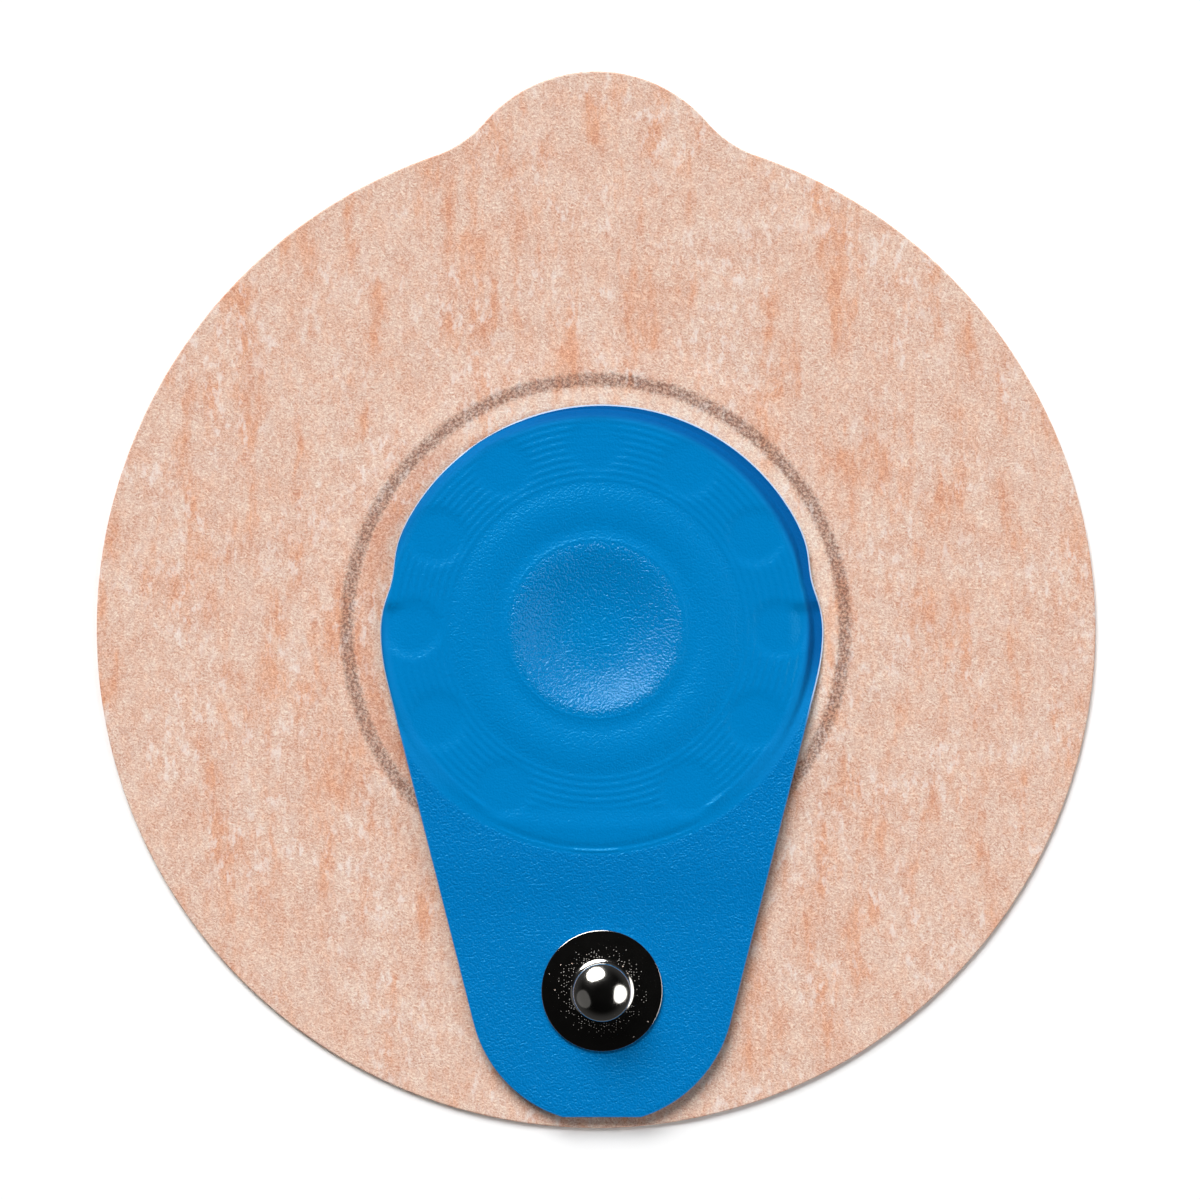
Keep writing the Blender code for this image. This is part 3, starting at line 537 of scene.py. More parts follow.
def lumps(x, y, size):
    """Slow random unevenness between -1 and 1, whose lumps are about size wide."""
    places = zip(np.ravel(x) / size, np.ravel(y) / size)
    return np.array([noise.noise(Vector((u, v, 0.0))) for u, v in places]).reshape(np.shape(x))


def arc(centre, radius, start, end, steps):
    """Points on a round edge between two angles, which are counted from +Y towards -X."""
    angle = np.linspace(start, end, steps + 1)
    return np.stack([centre[0] - np.sin(angle) * radius, centre[1] + np.cos(angle) * radius], axis=1)


def ring(radius, height, steps, centre=(0.0, 0.0)):
    """Points of one level round ring."""
    edge = arc(centre, radius, 0.0, math.tau, steps)[:-1]
    return np.column_stack([edge, np.full(steps, height)])


def circles(radii, columns):
    """Radii of round rings, one row to a ring."""
    return np.repeat(np.asarray(radii)[:, None], columns, axis=1)


def mirrored(half):
    """Complete an outline that runs from +Y to -Y on the -X side."""
    return np.vstack([half, half[-2:0:-1] * (-1.0, 1.0)])


def pad_outline():
    """The pad's edge: a disc and a pull tab joined by concave fillets."""
    tab_centre = TAB_REACH - TAB_RADIUS
    disc_reach = PAD_RADIUS + TAB_FILLET
    tab_reach = TAB_RADIUS + TAB_FILLET
    fillet_y = (disc_reach**2 - tab_reach**2 + tab_centre**2) / (2.0 * tab_centre)
    fillet_x = -math.sqrt(disc_reach**2 - fillet_y**2)
    disc_angle = math.atan2(-fillet_x, fillet_y)
    tab_angle = math.atan2(-fillet_x, fillet_y - tab_centre)
    half = [
        arc((0.0, tab_centre), TAB_RADIUS, 0.0, tab_angle, 26),
        arc((fillet_x, fillet_y), TAB_FILLET, tab_angle + math.pi, disc_angle + math.pi, 16)[1:],
        arc((0.0, 0.0), PAD_RADIUS, disc_angle, math.pi, 168)[1:],
    ]
    return mirrored(np.vstack(half))


def film_outline():
    """The film's edge: a round middle, straight tapering sides and a round end with a flat cut."""
    tangent = math.pi / 2.0 + math.asin((FILM_RADIUS - FLAP_END_RADIUS) / (STUD_OFFSET + CUT_RISE))
    round_part = arc((0.0, 0.0), FILM_RADIUS, 0.0, tangent, 116)
    dip = 1.0 - EDGE_DIP * edge_dip(np.arctan2(-round_part[:, 0], round_part[:, 1])) / FILM_RADIUS
    round_part = round_part * dip[:, None] + (0.0, CUT_RISE)
    cut_angle = math.pi - math.acos(FLAP_CUT / FLAP_END_RADIUS)
    end = arc((0.0, -STUD_OFFSET), FLAP_END_RADIUS, tangent, cut_angle, 34)
    side = np.linspace(round_part[-1], end[0], 62)[1:-1]
    flat_cut = np.linspace(end[-1], (0.0, -STUD_OFFSET - FLAP_CUT), 8)[1:]
    return mirrored(np.vstack([round_part, side, end, flat_cut])) + (CUT_SHIFT, 0.0)


def polar(outline):
    """Angles from +Y towards -X and radii of an outline's points."""
    return np.arctan2(-outline[:, 0], outline[:, 1]), np.hypot(outline[:, 0], outline[:, 1])


def placed(angles, radii, height):
    """Rings of points at heights that a function of x and y gives, one row to a ring."""
    x = -np.sin(angles) * radii
    y = np.cos(angles) * radii
    return np.stack([x, y, height(x, y)], axis=-1)


def new_object(name, data):
    """Put an object into the scene in place of an older one of that name."""
    old = bpy.data.objects.get(name)
    if old:
        bpy.data.objects.remove(old)
    made = bpy.data.objects.new(name, data)
    bpy.context.scene.collection.objects.link(made)
    return made


def skinned(name, rings, finishes, bands=None, closed_ends=False, sharp=40.0):
    """One closed mesh over rings of points, from the top's middle over the edge to the underside."""
    rings = np.asarray(rings)
    count, columns = rings.shape[:2]
    points = rings.reshape(-1, 3)
    row_count = count - 1 if closed_ends else count
    row = np.arange(row_count)[:, None] * columns
    next_row = (row + columns) % (count * columns)
    column = np.arange(columns)[None, :]
    after = (column + 1) % columns
    quads = np.stack([row + column, next_row + column, next_row + after, row + after], axis=-1)
    faces = quads.reshape(-1, 4).tolist()
    slots = np.repeat(np.zeros(row_count, int) if bands is None else np.asarray(bands), columns)
    if closed_ends:
        top = len(points)
        last_row = (count - 1) * columns
        points = np.vstack([points, rings[0].mean(axis=0), rings[-1].mean(axis=0)])
        faces += [[top, c, (c + 1) % columns] for c in range(columns)]
        faces += [[top + 1, last_row + (c + 1) % columns, last_row + c] for c in range(columns)]
        slots = np.concatenate([slots, np.repeat((slots[0], slots[-1]), columns)])
    mesh = bpy.data.meshes.new(name)
    mesh.from_pydata(points.tolist(), [], faces)
    for finish in finishes:
        mesh.materials.append(finish)
    mesh.polygons.foreach_set("material_index", slots.astype(np.int32))
    mesh.shade_smooth()
    mesh.set_sharp_from_angle(angle=math.radians(sharp))
    if mesh.validate():
        raise RuntimeError(f"{name} has faulty faces")
    return new_object(name, mesh)


def drilled(piece, radius, centre, top):
    """Take an upright round hole out of a piece."""
    rings = [ring(radius, height, 64, centre) for height in (top, -top)]
    tool = skinned("hole_tool", rings, [piece.data.materials[0]], closed_ends=True)
    modifier = piece.modifiers.new("hole", "BOOLEAN")
    modifier.operation = "DIFFERENCE"
    modifier.solver = "EXACT"
    modifier.object = tool
    graph = bpy.context.evaluated_depsgraph_get()
    mesh = bpy.data.meshes.new_from_object(piece.evaluated_get(graph))
    piece.modifiers.clear()
    piece.data = mesh
    bpy.data.objects.remove(tool)


def stand_in(piece, node):
    """Let a fine piece take the place of a plain solid, on the one body there is."""
    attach(piece, BODY)
    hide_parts(node)
    return piece


def refinish(node, finish):
    """Give a solid that stays as it is a better finish."""
    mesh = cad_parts[node].data
    mesh.materials.clear()
    mesh.materials.append(finish)


def web_of_fibres(finish, place, look):
    """Lightness of a web of short curved fibres that lie over each other, from 0 to 1."""
    wander = finish.noise(place, 0.8, 1.0).other("Color")
    wander = finish.node("ShaderNodeVectorMath", {"operation": "SUBTRACT"}, {0: wander, 1: (0.5, 0.5, 0.5)})
    bent = place + wander * (0.7, 0.7, 0.0)
    stretch = (MM / look.fibre_length, MM / look.fibre_width, 1.0)
    web = 0.3
    for number, degrees in enumerate(FIBRE_TURNS):
        lane = finish.turned(bent + (5.3 * number, 3.7 * number, 0.0), degrees) * stretch
        cells = finish.cells(lane)
        tone = finish.part(cells.other("Color"), 0)
        mask = 1.0 - finish.ramp(cells, 0.16, 0.36)
        web = web * (1.0 - mask) + tone * mask
    return web


def nonwoven(look, under):
    """Fibrous pad with streaks, flecks, the ring mark of the foil below and painted shade on the left of the
    strip beside the film's edge.
    """
    name = "nonwoven_adhesive_side" if under else "nonwoven"
    finish = Finish(name, Roughness=0.42 if under else 0.85, Sheen_Weight=0.0 if under else 0.12)
    place = finish.place()
    web = web_of_fibres(finish, place, look)
    radius = finish.radius(place)

    mottle = finish.noise(place, 2.2, 3.0, 0.6)
    fine = finish.ramp(finish.noise(place, 0.13, 1.0), 0.25, 0.75)
    # Painted shade: on the left, the strip beside the film's edge is painted darker and more orange.
    shaded_left = finish.ramp(finish.part(place, 0), -8.0, -12.0)
    thin = finish.ramp(radius, 15.0, 15.6) * (1.0 - finish.ramp(radius, 16.1, 16.7))
    tone = web * 0.6 + fine * 0.46 + mottle * 0.4 - 0.24 + thin * (0.2 - 0.3 * shaded_left)
    ragged = radius + (finish.noise(place, 0.3, 3.0, 0.8) - 0.5) * 0.7
    mark = finish.ramp(ragged, 16.35, 16.7) * (1.0 - finish.ramp(ragged, 17.2, 17.6))
    speck = 1.0 - finish.ramp(finish.noise(place, 0.17, 2.0, 0.7), 0.38, 0.6)
    streaks = finish.noise(place * (1.0 / 1.9, 1.0 / 7.0, 1.0), 1.0, 4.0, 0.65)
    warm = finish.noise(place * (1.0, 0.55, 1.0), 0.8, 4.0, 0.7)
    clumps = finish.noise(place * (1.0, 0.45, 1.0), 0.5, 3.0, 0.7)
    clumps = finish.ramp(clumps, 0.5, 0.68) * finish.ramp(finish.noise(place, 6.0, 2.0), 0.4, 0.6)

    # The tint takes in the streaks, the warm patches and the painted shade on the left of the strip.
    blush_and_shade = finish.ramp(streaks, 0.48, 0.7) * 0.75 + finish.ramp(warm, 0.35, 0.7) * 0.5 + thin * shaded_left * 0.4
    shade = finish.mix(tone, look.ground, look.fibre)
    shade = finish.mix(blush_and_shade, shade, look.blush_and_shade, "MULTIPLY")
    shade = finish.mix(clumps * 0.6, shade, look.fleck)
    shade = finish.mix(mark * (0.24 + 0.54 * speck), shade, look.mark)
    if under:
        shade = finish.mix(0.5, shade, look.adhesive)
    finish.paint("Base Color", shade)
    finish.relief((web * 0.8 + fine * 0.4) * (look.fibre_relief / MM))
    return finish.material


def pad_height(look):
    """Heights of the pad's two faces as functions of x and y."""
    raised_edge = FOIL_RADIUS + FORMING_CLEARANCE
    step_foot = raised_edge + PAD_STEP_WIDTH

    def bottom(x, y):
        return PAD_RAISED_BOTTOM * smooth_step(step_foot, raised_edge, np.hypot(x, y))

    def top(x, y):
        radius = np.hypot(x, y)
        uneven = 0.6 * lumps(x, y, 5.0 * MM) + 0.4 * lumps(x, y, 0.9 * MM)
        from_rivet = smooth_step(4.5 * MM, 6.5 * MM, np.hypot(x, y + STUD_OFFSET))
        free = smooth_step(FILM_RADIUS, raised_edge, radius) * from_rivet
        return bottom(x, y) + PAD_THICKNESS + look.unevenness * uneven * free

    return top, bottom


class ELECTRODE_OT_pad(bpy.types.Operator):
    """Make the nonwoven pad and the foil on its skin side"""

    bl_idname = "electrode.pad"
    bl_label = "Pad and foil"

    def execute(self, context):
        look = context.scene.electrode_pad
        angles, edge = polar(pad_outline())
        step = FOIL_RADIUS + FORMING_CLEARANCE
        round_over = 0.07 * MM
        slope = step + PAD_STEP_WIDTH * np.linspace(0.0, 1.0, 6)[1:]
        inner = np.concatenate([np.linspace(RING_INNER_RADIUS, step, 22), slope])
        outer_shares = np.linspace(0.0, 1.0, 66)[1:, None]
        outer_rings = inner[-1] + (edge - round_over - inner[-1]) * outer_shares
        radii = np.vstack([circles(inner, len(angles)), outer_rings])
        top, bottom = pad_height(look)
        upper = placed(angles, radii, top)
        shoulder = placed(angles, edge[None, :], lambda x, y: top(x, y) - round_over)
        lower = placed(angles, np.vstack([edge, radii[-12::-6]]), bottom)
        rings = np.concatenate([upper, shoulder, lower])
        bands = [0] * (len(upper) + 1) + [1] * (len(lower) - 1) + [0]
        finishes = [nonwoven(look, under=False), nonwoven(look, under=True)]
        pad = skinned("nonwoven_pad", rings, finishes, bands)
        stand_in(pad, "backing")
        outline = pad_outline()

        profile = [
            (RING_INNER_RADIUS, FOIL_THICKNESS),
            (FOIL_RADIUS, FOIL_THICKNESS),
            (FOIL_RADIUS, 0.0),
            (RING_INNER_RADIUS, 0.0),
        ]
        rings = [ring(radius, height, 240) for radius, height in profile]
        foil = skinned("skin_foil_ring", rings, [foil_finish(context.scene.electrode_core)])
        stand_in(foil, "lower_foil")
        return {"FINISHED"}


def foil_finish(look):
    """Brushed, slightly crumpled foil."""
    finish = Finish("skin_side_foil", Metallic=0.35)
    place = finish.place()
    brushed = finish.noise(place * (0.15, 3.0, 1.0), 1.0, 3.0, 0.6)
    creases = finish.noise(place, 3.0, 3.0, 0.6)
    finish.paint("Base Color", finish.mix(brushed, look.foil, [0.8 * part for part in look.foil]))
    finish.paint("Roughness", 0.32 + creases * 0.2)
    finish.relief(creases * 0.02 + brushed * 0.004)
    return finish.material


def film_finish(look):
    """Satin blue film with a fine leather grain, glossier in the dish and dull on its bonded rim, and with
    painted shade: the flap is painted a darker blue.
    """
    finish = Finish("blue_film", Specular_IOR_Level=0.5, Specular_Tint=(0.12, 0.65, 0.9))
    place = finish.place()
    radius = finish.radius(place)
    y = finish.part(place, 1)
    dish = 1.0 - finish.ramp(radius, 5.6, 6.2)
    flap = finish.ramp(radius, 15.15, 15.5)
    ridges = finish.ramp(radius, 9.8, 10.2) * (1.0 - flap)

    size = look.grain_size / MM
    wander = finish.noise(place, 0.9, 1.0).other("Color")
    bent = place + finish.node("ShaderNodeVectorMath", {"operation": "SCALE"}, {0: wander, "Scale": 0.12})
    pebble = finish.cells(bent / size, "SMOOTH_F1")
    small = finish.noise(place, 0.1, 2.0, 0.6)
    grain = 1.0 - finish.ramp(pebble, 0.1, 0.7)
    strength = 0.5 + dish * 0.5 + flap * 0.35 - ridges * 0.2
    coarse = finish.noise(place * (1.0, 1.5, 1.0), 0.3, 3.0, 0.6)
    relief = (grain * 0.5 + coarse * 1.1 + small * 0.3) * strength * (look.grain_height / MM)

    tone = finish.noise(place, 2.4, 3.0, 0.6)
    # Painted shade: the flap takes the darker flap blue.
    tint = finish.mix(flap, look.blue, look.flap_shaded_blue)
    tint = finish.mix(0.12 * tone, tint, seen(0, 96, 172))
    rim = finish.ramp(radius, 14.2, 14.6) * finish.ramp(y, -6.0, -1.0)
    depth = 0.4 + 0.45 * finish.ramp(finish.part(place, 0), -9.0, -1.0)
    tint = finish.mix(rim * depth, tint, look.rim_blue)
    finish.paint("Base Color", tint)
    finish.paint("Roughness", look.roughness + 0.1 * small + 0.06 * tone - 0.05 - 0.09 * dish)
    finish.relief(relief)
    wall = finish.ramp(radius, 13.9, 14.3) * (1.0 - finish.ramp(radius, 15.2, 15.5))
    wall = wall * finish.ramp(y, -11.5, -9.5)
    shine = dish * finish.ramp(radius, 0.5, 4.0)
    finish.blended(shine, Roughness=0.13, Specular_IOR_Level=0.5, Specular_Tint=(0.5, 0.78, 0.85))
    finish.blended(rim.highest(wall), Roughness=0.6, Specular_IOR_Level=0.05)
    return finish.material


def film_edge_finish(look):
    """Cut edge of the film: pale, partly its own colour and partly a painted highlight, which is kept to the
    upper part and fades into the flap's blue below.
    """
    finish = Finish("film_cut_edge", Roughness=0.5)
    place = finish.place()
    nicks = finish.noise(place, 0.4, 2.0, 0.6)
    # Painted highlight: the cut edge is pale only towards the top and fades into the flap's blue below.
    highlight_share = finish.ramp(finish.part(place, 1), -7.0, -3.0) * (1.0 - 0.3 * nicks)
    finish.paint("Base Color", finish.mix(highlight_share, look.flap_shaded_blue, look.edge_highlight_blue))
    finish.relief(nicks * 0.02)
    return finish.material


class ELECTRODE_OT_film(bpy.types.Operator):
    """Make the blue film with its pressed relief and free flap"""

    bl_idname = "electrode.film"
    bl_label = "Blue film"

    def execute(self, context):
        look = context.scene.electrode_film
        angles, edge = polar(film_outline())
        crown = CROWN_RADIUS - CROWN_DIP * edge_dip(angles)
        gap = np.maximum(edge - crown - CROWN_WALL, 0.0)
        foot = np.minimum(crown + CROWN_WALL, edge - FOOT_STEP)

        def from_foot(near_steps, far_steps):
            """Rings from the crown's foot to the bevel, of which the first lie close together."""
            near = FOOT_STEP * np.minimum(gap / (1.2 * MM), 1.0)
            near_rings = foot + near * np.arange(1, near_steps + 1)[:, None]
            far_shares = np.linspace(0.0, 1.0, far_steps + 1)[1:, None]
            start = near_rings[-1] if near_steps else foot
            far_rings = start + (edge - EDGE_BEVEL - start) * far_shares
            return np.vstack([near_rings, far_rings]) if near_steps else far_rings

        def ridged(steps):
            """Circles over the ridges, of which the last follow the crown's drawn-in edge."""
            flat = RIDGE_START + RIDGE_PITCH * RIDGE_COUNT * np.linspace(0.0, 1.0, steps + 1)[:, None]
            bend_start = CROWN_RADIUS - 3.0 * RIDGE_PITCH
            drawn = bend_start + (flat - bend_start) * (crown - bend_start) / (CROWN_RADIUS - bend_start)
            return np.where(flat > bend_start, drawn, flat)

        dish = DISH_RADIUS * np.linspace(0.0, 1.0, 21)[1:]
        bead = DISH_RADIUS + BEAD_WIDTH * np.linspace(0.0, 1.0, 22)[1:]
        fine_bead = BEAD_END + FINE_BEAD_WIDTH * np.linspace(0.0, 1.25, 6)[1:]
        annulus = np.linspace(fine_bead[-1], RIDGE_START, 8)[1:-1]
        wall = crown + (foot - crown) * np.linspace(0.0, 1.0, 7)[1:, None]
        middle = np.concatenate([dish, bead, fine_bead, annulus])
        middle = circles(middle, len(angles))
        upper_radii = np.vstack([middle, ridged(6 * RIDGE_COUNT), wall, from_foot(8, 40)])
        middle = circles(np.concatenate([dish[3::4], bead[1::2]]), len(angles))
        lower_radii = np.vstack([middle, ridged(2 * RIDGE_COUNT), wall[1::2], from_foot(0, 5)])

        def top(x, y):
            return film_top(x, y, look.ridge_height) + look.wave * lumps(x, y, 4.0 * MM)

        def bottom(x, y):
            return film_form(x, y) - FILM_THICKNESS

        upper = placed(angles, upper_radii, top)
        shoulder = placed(angles, edge[None, :], lambda x, y: top(x, y) - EDGE_BEVEL_DROP)
        heel = placed(angles, edge[None, :], bottom)
        lower = placed(angles, lower_radii[::-1], bottom)
        rings = np.concatenate([upper, shoulder, heel, lower])
        bands = [0] * (len(upper) - 1) + [1] + [0] * (len(lower) + 1)
        finishes = [film_finish(look), film_edge_finish(look)]
        film = skinned("embossed_film", rings, finishes, bands, closed_ends=True)
        drilled(film, RIVET_POST_RADIUS + HOLE_CLEARANCE, STUD_PLACE, 5.0 * MM)
        stand_in(film, "film")
        return {"FINISHED"}


def plating(name, look, roughness):
    """Polished plating with faint haze, a few small pits and fine specks round the stud's root."""
    finish = Finish(name, Metallic=1.0)
    place = finish.place()
    haze = finish.noise(place, 0.8, 3.0, 0.6)
    spots = finish.cells(place * (MM / look.pit_spacing), dimensions="3D")
    from_stud = finish.radius(place - (CUT_SHIFT / MM, -STUD_OFFSET / MM, 0.0))
    near = finish.ramp(from_stud, 2.05, 2.25) * (1.0 - finish.ramp(from_stud, 2.2, 3.5))
    specks = finish.cells(place / 0.17)
    kept = finish.ramp(near * 0.55 - finish.part(specks.other("Color"), 0), 0.0, 0.05)
    dust = kept * (1.0 - finish.ramp(specks, 0.1, 0.2))
    pit = 1.0 - finish.ramp(spots, 0.03, 0.08)
    finish.paint("Base Color", finish.mix(pit, look.plate, look.pit))
    finish.paint("Roughness", roughness + 0.04 * haze + 0.4 * pit + 0.5 * dust)
    finish.relief(pit * -0.01 + haze * 0.0015)
    return finish.material


def stud_profile():
    """Radii and heights of the stud from the top's middle down its outer side and up its bore."""
    roll_centre = FLANGE_RADIUS - FLANGE_ROLL
    bore = RIVET_POST_RADIUS + FORMING_CLEARANCE
    corner_centre = HEAD_RADIUS - HEAD_CORNER_RADIUS
    corner_start = corner_centre + HEAD_CORNER_RADIUS * math.sin(HEAD_CORNER_START)
    bend = HEAD_CORNER_START / (corner_start - HEAD_TOP_FLAT)
    points = []
    for radius in np.linspace(HEAD_TOP_FLAT, corner_start, 15):
        drop = -math.log(math.cos(bend * (radius - HEAD_TOP_FLAT))) / bend
        points.append((radius, STUD_HEIGHT - drop))
    corner_height = points[-1][1] - HEAD_CORNER_RADIUS * math.cos(HEAD_CORNER_START)
    for turn in np.linspace(HEAD_CORNER_START, math.pi / 2.0, 11)[1:]:
        radius = corner_centre + HEAD_CORNER_RADIUS * math.sin(turn)
        points.append((radius, corner_height + HEAD_CORNER_RADIUS * math.cos(turn)))
    belly = corner_height
    for part in np.linspace(1.0, 0.0, 9)[1:]:
        radius = NECK_RADIUS + (HEAD_RADIUS - NECK_RADIUS) * math.sin(part * math.pi / 2.0)
        points.append((radius, HEAD_BASE + (belly - HEAD_BASE) * part))
    for turn in np.linspace(math.pi / 2.0, 0.0, 10):
        height = FLANGE_THICKNESS + ROOT_FILLET * (1.0 - math.cos(turn))
        points.append((ROOT_RADIUS - ROOT_FILLET * math.sin(turn), height))
    for centre_height, start in ((FLANGE_THICKNESS - FLANGE_ROLL, 0.5), (FLANGE_ROLL, 0.0)):
        for turn in np.linspace(start, start - 0.5, 8) * math.pi:
            radius = roll_centre + FLANGE_ROLL * math.cos(turn)
            points.append((radius, centre_height + FLANGE_ROLL * math.sin(turn)))
    points.append((bore, 0.0))
    points.append((bore, STUD_HEIGHT - STUD_WALL))
    return points


class ELECTRODE_OT_stud(bpy.types.Operator):
    """Make the plated snap stud and finish the rivet under it"""

    bl_idname = "electrode.stud"
    bl_label = "Stud and rivet"

    def execute(self, context):
        look = context.scene.electrode_stud
        profile = stud_profile()
        rings = [ring(radius, STUD_BOTTOM + height, 144, STUD_PLACE) for radius, height in profile]
        finish = plating("bright_plating", look, look.roughness)
        stud = skinned("snap_stud", rings, [finish], closed_ends=True)
        stand_in(stud, "stud")
        refinish("rivet", plating("rivet_plating", look, 0.22))
        return {"FINISHED"}


def sponge_finish(look):
    """Open foam that is wet with gel."""
    finish = Finish("wet_sponge", Coat_Roughness=0.08, Subsurface_Weight=0.15)
    finish.paint("Coat Weight", 0.6)
    place = finish.place()
    pores = finish.cells(place * 2.6, dimensions="3D")
    wall = finish.ramp(pores, 0.1, 0.5)
    cloud = finish.noise(place, 2.5, 3.0, 0.6)
    dark = [0.62 * part for part in look.sponge]
    finish.paint("Base Color", finish.mix(wall * 0.8 + cloud * 0.2, dark, look.sponge))
    finish.paint("Roughness", 0.35 + 0.3 * wall)
    finish.relief(wall * 0.05)
    return finish.material


def plain_finish(name, tint, roughness, metallic, grain, streak=1.0):
    """A moulded, coated or drawn surface with slight variation in tone, sheen and relief."""
    finish = Finish(name, Metallic=metallic)
    place = finish.place()
    fine = finish.noise(place * (1.0, streak, 1.0), 0.35, 3.0, 0.6)
    broad = finish.noise(place, 2.5, 2.0, 0.5)
    finish.paint("Base Color", finish.mix(broad * 0.5 + fine * 0.2, tint, [0.84 * part for part in tint]))
    finish.paint("Roughness", roughness + 0.12 * fine)
    finish.relief(fine * grain)
    return finish.material


class ELECTRODE_OT_core(bpy.types.Operator):
    """Make the gel sponge and finish the ring, sensor, conductor and flap liner"""

    bl_idname = "electrode.core"
    bl_label = "Sponge and inner parts"

    def execute(self, context):
        look = context.scene.electrode_core
        turns = np.linspace(0.0, math.tau, 181)[:-1]
        seat_radius = SENSOR_RADIUS + SPONGE_FIT
        bottom_of_film = film_form(np.zeros(1), np.zeros(1))[0] - FILM_THICKNESS
        seat_height = bottom_of_film - LAYER_ROOM - SENSOR_THICKNESS - BOND

        def top(x, y):
            radius = np.hypot(x, y)
            under_film = film_form(np.zeros_like(x), radius) - FILM_THICKNESS - LAYER_ROOM
            return np.where(radius <= seat_radius + 0.01 * MM, seat_height, under_film)

        def bottom(x, y):
            pores = np.clip(lumps(x, y, 0.55 * MM) + 0.4 * lumps(x, y, 0.25 * MM), 0.0, 1.0)
            return look.pore_depth * pores

        upper_radii = [0.6 * seat_radius, seat_radius, seat_radius + 0.05 * MM, 3.6 * MM, 4.8 * MM]
        upper_radii += [DISH_RADIUS, DISH_RADIUS + BEAD_WIDTH / 2.0, DISH_RADIUS + BEAD_WIDTH, 8.0 * MM]
        upper_radii.append(SPONGE_RADIUS - 0.1 * MM)
        upper = placed(turns, circles(upper_radii, len(turns)), top)
        side_heights = np.linspace(CROWN_TOP - FILM_THICKNESS - LAYER_ROOM - 0.15 * MM, 0.15 * MM, 6)
        side = [ring(SPONGE_RADIUS, height, len(turns)) for height in side_heights]
        lower_radii = np.linspace(SPONGE_RADIUS - 0.1 * MM, 0.3 * MM, 50)
        lower = placed(turns, circles(lower_radii, len(turns)), bottom)
        rings = np.concatenate([upper, side, lower])
        sponge = skinned("wet_gel_sponge", rings, [sponge_finish(look)], closed_ends=True, sharp=60.0)
        stand_in(sponge, "gel_sponge")

        refinish("support_ring", plain_finish("moulded_plastic", look.ring, 0.38, 0.0, 0.004))
        refinish("sensor", plain_finish("chlorided_silver", look.silver, 0.4, 0.8, 0.01))
        refinish("conductor", plain_finish("coated_strip", look.strip, 0.28, 0.8, 0.003, 0.1))
        refinish("flap_liner", plain_finish("liner_film", look.liner, 0.3, 0.0, 0.003))
        return {"FINISHED"}


def stage_finish(name, tint, glow, mirror_glow):
    """Plain matt stage surface that the camera sees by its own glow and mirrors see at another level."""
    finish = Finish(name, Roughness=0.9)
    finish.paint("Specular IOR Level", 0.1)
    finish.paint("Base Color", tint)
    matt = Signal(finish, finish.shader.outputs[0])
    path = finish.node("ShaderNodeLightPath", {}, {}, "Is Camera Ray")
    mirrored = path.other("Is Glossy Ray").highest(path.other("Is Transmission Ray"))
    light = finish.node("ShaderNodeEmission", {}, {"Color": tint, "Strength": mirror_glow})
    mixed = finish.node("ShaderNodeMixShader", {}, {0: mirrored, 1: matt, 2: light})
    if glow:
        light = finish.node("ShaderNodeEmission", {}, {"Color": tint, "Strength": glow})
        mixed = finish.node("ShaderNodeMixShader", {}, {0: path, 1: mixed, 2: light})
    finish.feed(finish.tree.nodes["Material Output"].inputs["Surface"], mixed)
    return finish.material


def lamp(name, place, level):
    """A soft distant lamp that gives a level white surface that share of its light."""
    turn, rise, width = (math.radians(degrees) for degrees in place)
    light = bpy.data.lights.new(name, "SUN")
    light.angle = width
    light.energy = level * math.pi / math.sin(rise)
    source = new_object(name, light)
    towards = Vector((-math.sin(turn) * math.cos(rise), math.cos(turn) * math.cos(rise), math.sin(rise)))
    source.location = towards
    source.rotation_mode = "QUATERNION"
    source.rotation_quaternion = towards.to_track_quat("Z", "Y")


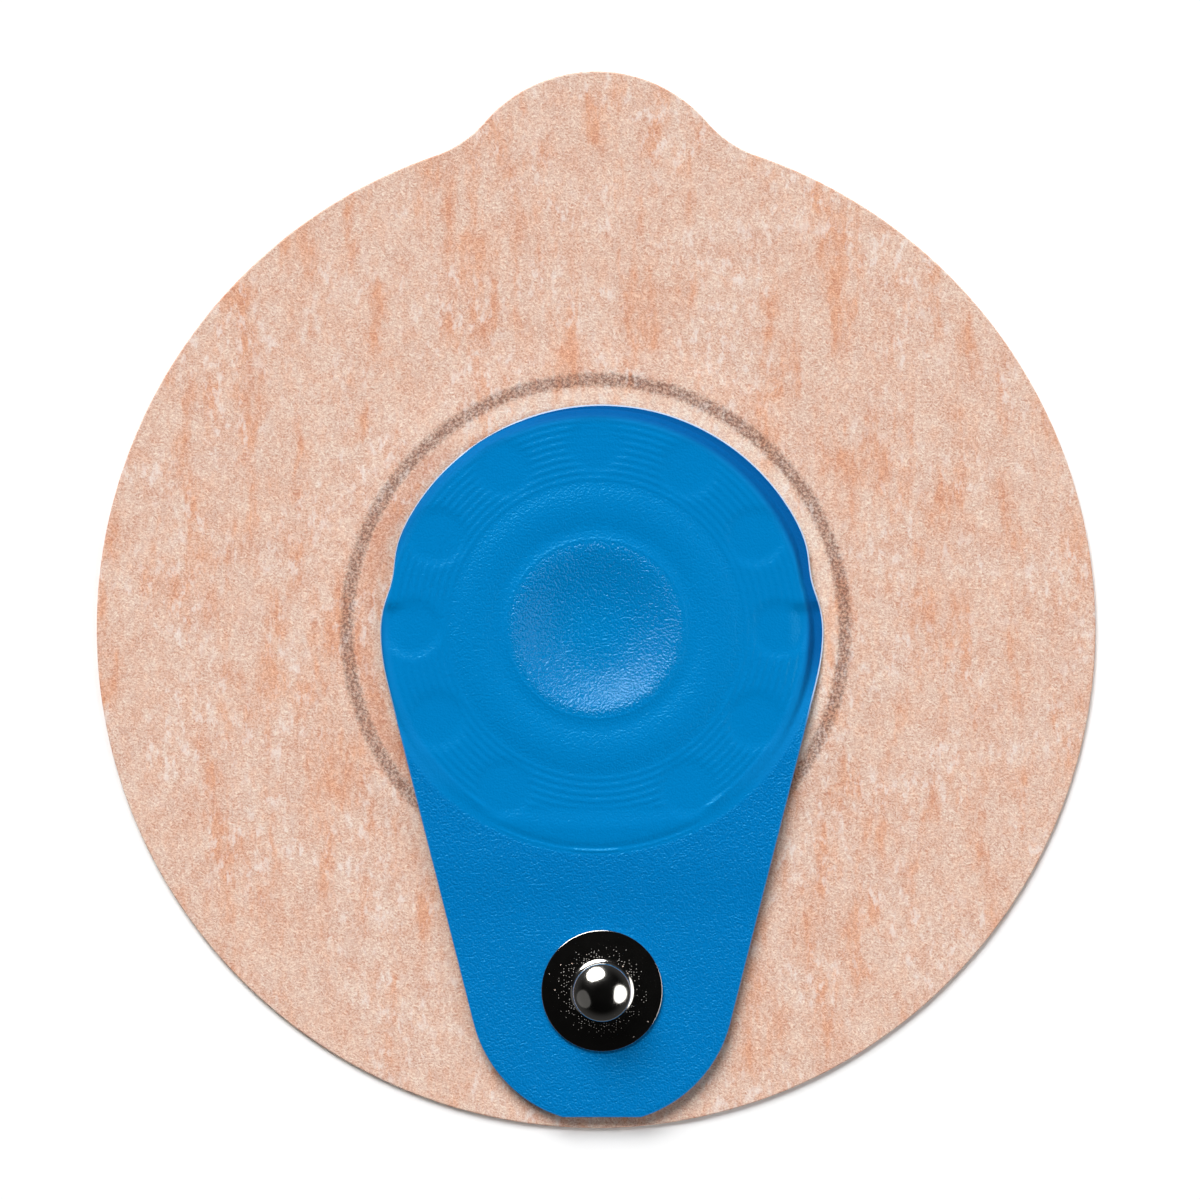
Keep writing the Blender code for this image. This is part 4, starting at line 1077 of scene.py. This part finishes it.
class ELECTRODE_OT_stage(bpy.types.Operator):
    """Make the floor, the far wall, the lamps and the camera"""

    bl_idname = "electrode.stage"
    bl_label = "Stage"

    def execute(self, context):
        look = context.scene.electrode_stage
        under_floor = FLOOR_LEVEL - STAGE_DEPTH
        behind_wall = WALL_RADIUS + STAGE_DEPTH
        profile = [(radius, FLOOR_LEVEL) for radius in (0.1, 0.5, 1.5, WALL_RADIUS)]
        profile += [(WALL_RADIUS, under_floor), (0.1, under_floor)]
        rings = [ring(radius, height, 64) for radius, height in profile]
        finish = stage_finish("matt_floor", look.floor, 0.0, 0.15)
        floor = skinned("floor", rings, [finish], closed_ends=True)
        profile = [(WALL_RADIUS, under_floor), (WALL_RADIUS, WALL_HEIGHT)]
        profile += [(behind_wall, WALL_HEIGHT), (behind_wall, under_floor)]
        rings = [ring(radius, height, 64) for radius, height in profile]
        wall = skinned("far_wall", rings, [stage_finish("matt_wall", look.floor, 0.96, 0.1)])

        lamp("key_lamp", KEY_LAMP, look.key_level)
        lamp("side_lamp", SIDE_LAMP, look.side_level)
        lamp("back_lamp", BACK_LAMP, look.back_level)
        world = bpy.data.worlds.new("studio")
        context.scene.world = world
        world.use_nodes = True
        studio = Nodes(world.node_tree)
        background = studio.tree.nodes["Background"]
        upward = studio.part(studio.node("ShaderNodeTexCoord", {}, {}, "Generated"), 2)
        overhead = studio.ramp(upward, 0.3, 0.7)
        level = look.fill_level
        dark = [0.06 * level] * 3
        studio.feed(background.inputs["Color"], studio.mix(overhead, [level] * 3, dark))

        lens = bpy.data.cameras.new("camera")
        lens.sensor_width = 36.0
        lens.lens = CAMERA_LENS
        lens.clip_start = 0.01
        camera = new_object("camera", lens)
        camera.location = CAMERA_PLACE
        context.scene.camera = camera
        context.scene.view_settings.view_transform = "Standard"
        return {"FINISHED"}


GROUPS = {
    "electrode_pad": PadLook,
    "electrode_film": FilmLook,
    "electrode_stud": StudLook,
    "electrode_core": CoreLook,
    "electrode_stage": StageLook,
}
OPERATORS = {
    "electrode_pad": ELECTRODE_OT_pad,
    "electrode_film": ELECTRODE_OT_film,
    "electrode_stud": ELECTRODE_OT_stud,
    "electrode_core": ELECTRODE_OT_core,
    "electrode_stage": ELECTRODE_OT_stage,
}


class ELECTRODE_PT_looks(bpy.types.Panel):
    """Sidebar panel with every piece's operator and the values it uses"""

    bl_idname = "ELECTRODE_PT_looks"
    bl_label = "Electrode looks"
    bl_space_type = "VIEW_3D"
    bl_region_type = "UI"
    bl_category = "Electrode"

    def draw(self, context):
        for name, operator in OPERATORS.items():
            box = self.layout.box()
            box.operator(operator.bl_idname)
            look = getattr(context.scene, name)
            for value in look.bl_rna.properties.keys():
                if value not in {"rna_type", "name"}:
                    box.prop(look, value)


def register():
    for name, group in GROUPS.items():
        bpy.utils.register_class(group)
        setattr(bpy.types.Scene, name, PointerProperty(type=group))
    for operator in OPERATORS.values():
        bpy.utils.register_class(operator)
    bpy.utils.register_class(ELECTRODE_PT_looks)


def unregister():
    bpy.utils.unregister_class(ELECTRODE_PT_looks)
    for operator in reversed(list(OPERATORS.values())):
        bpy.utils.unregister_class(operator)
    for name, group in reversed(list(GROUPS.items())):
        delattr(bpy.types.Scene, name)
        bpy.utils.unregister_class(group)


def main():
    """Make every piece and the stage."""
    register()
    bpy.ops.electrode.pad()
    bpy.ops.electrode.film()
    bpy.ops.electrode.stud()
    bpy.ops.electrode.core()
    bpy.ops.electrode.stage()


if __name__ == "__main__":
    main()
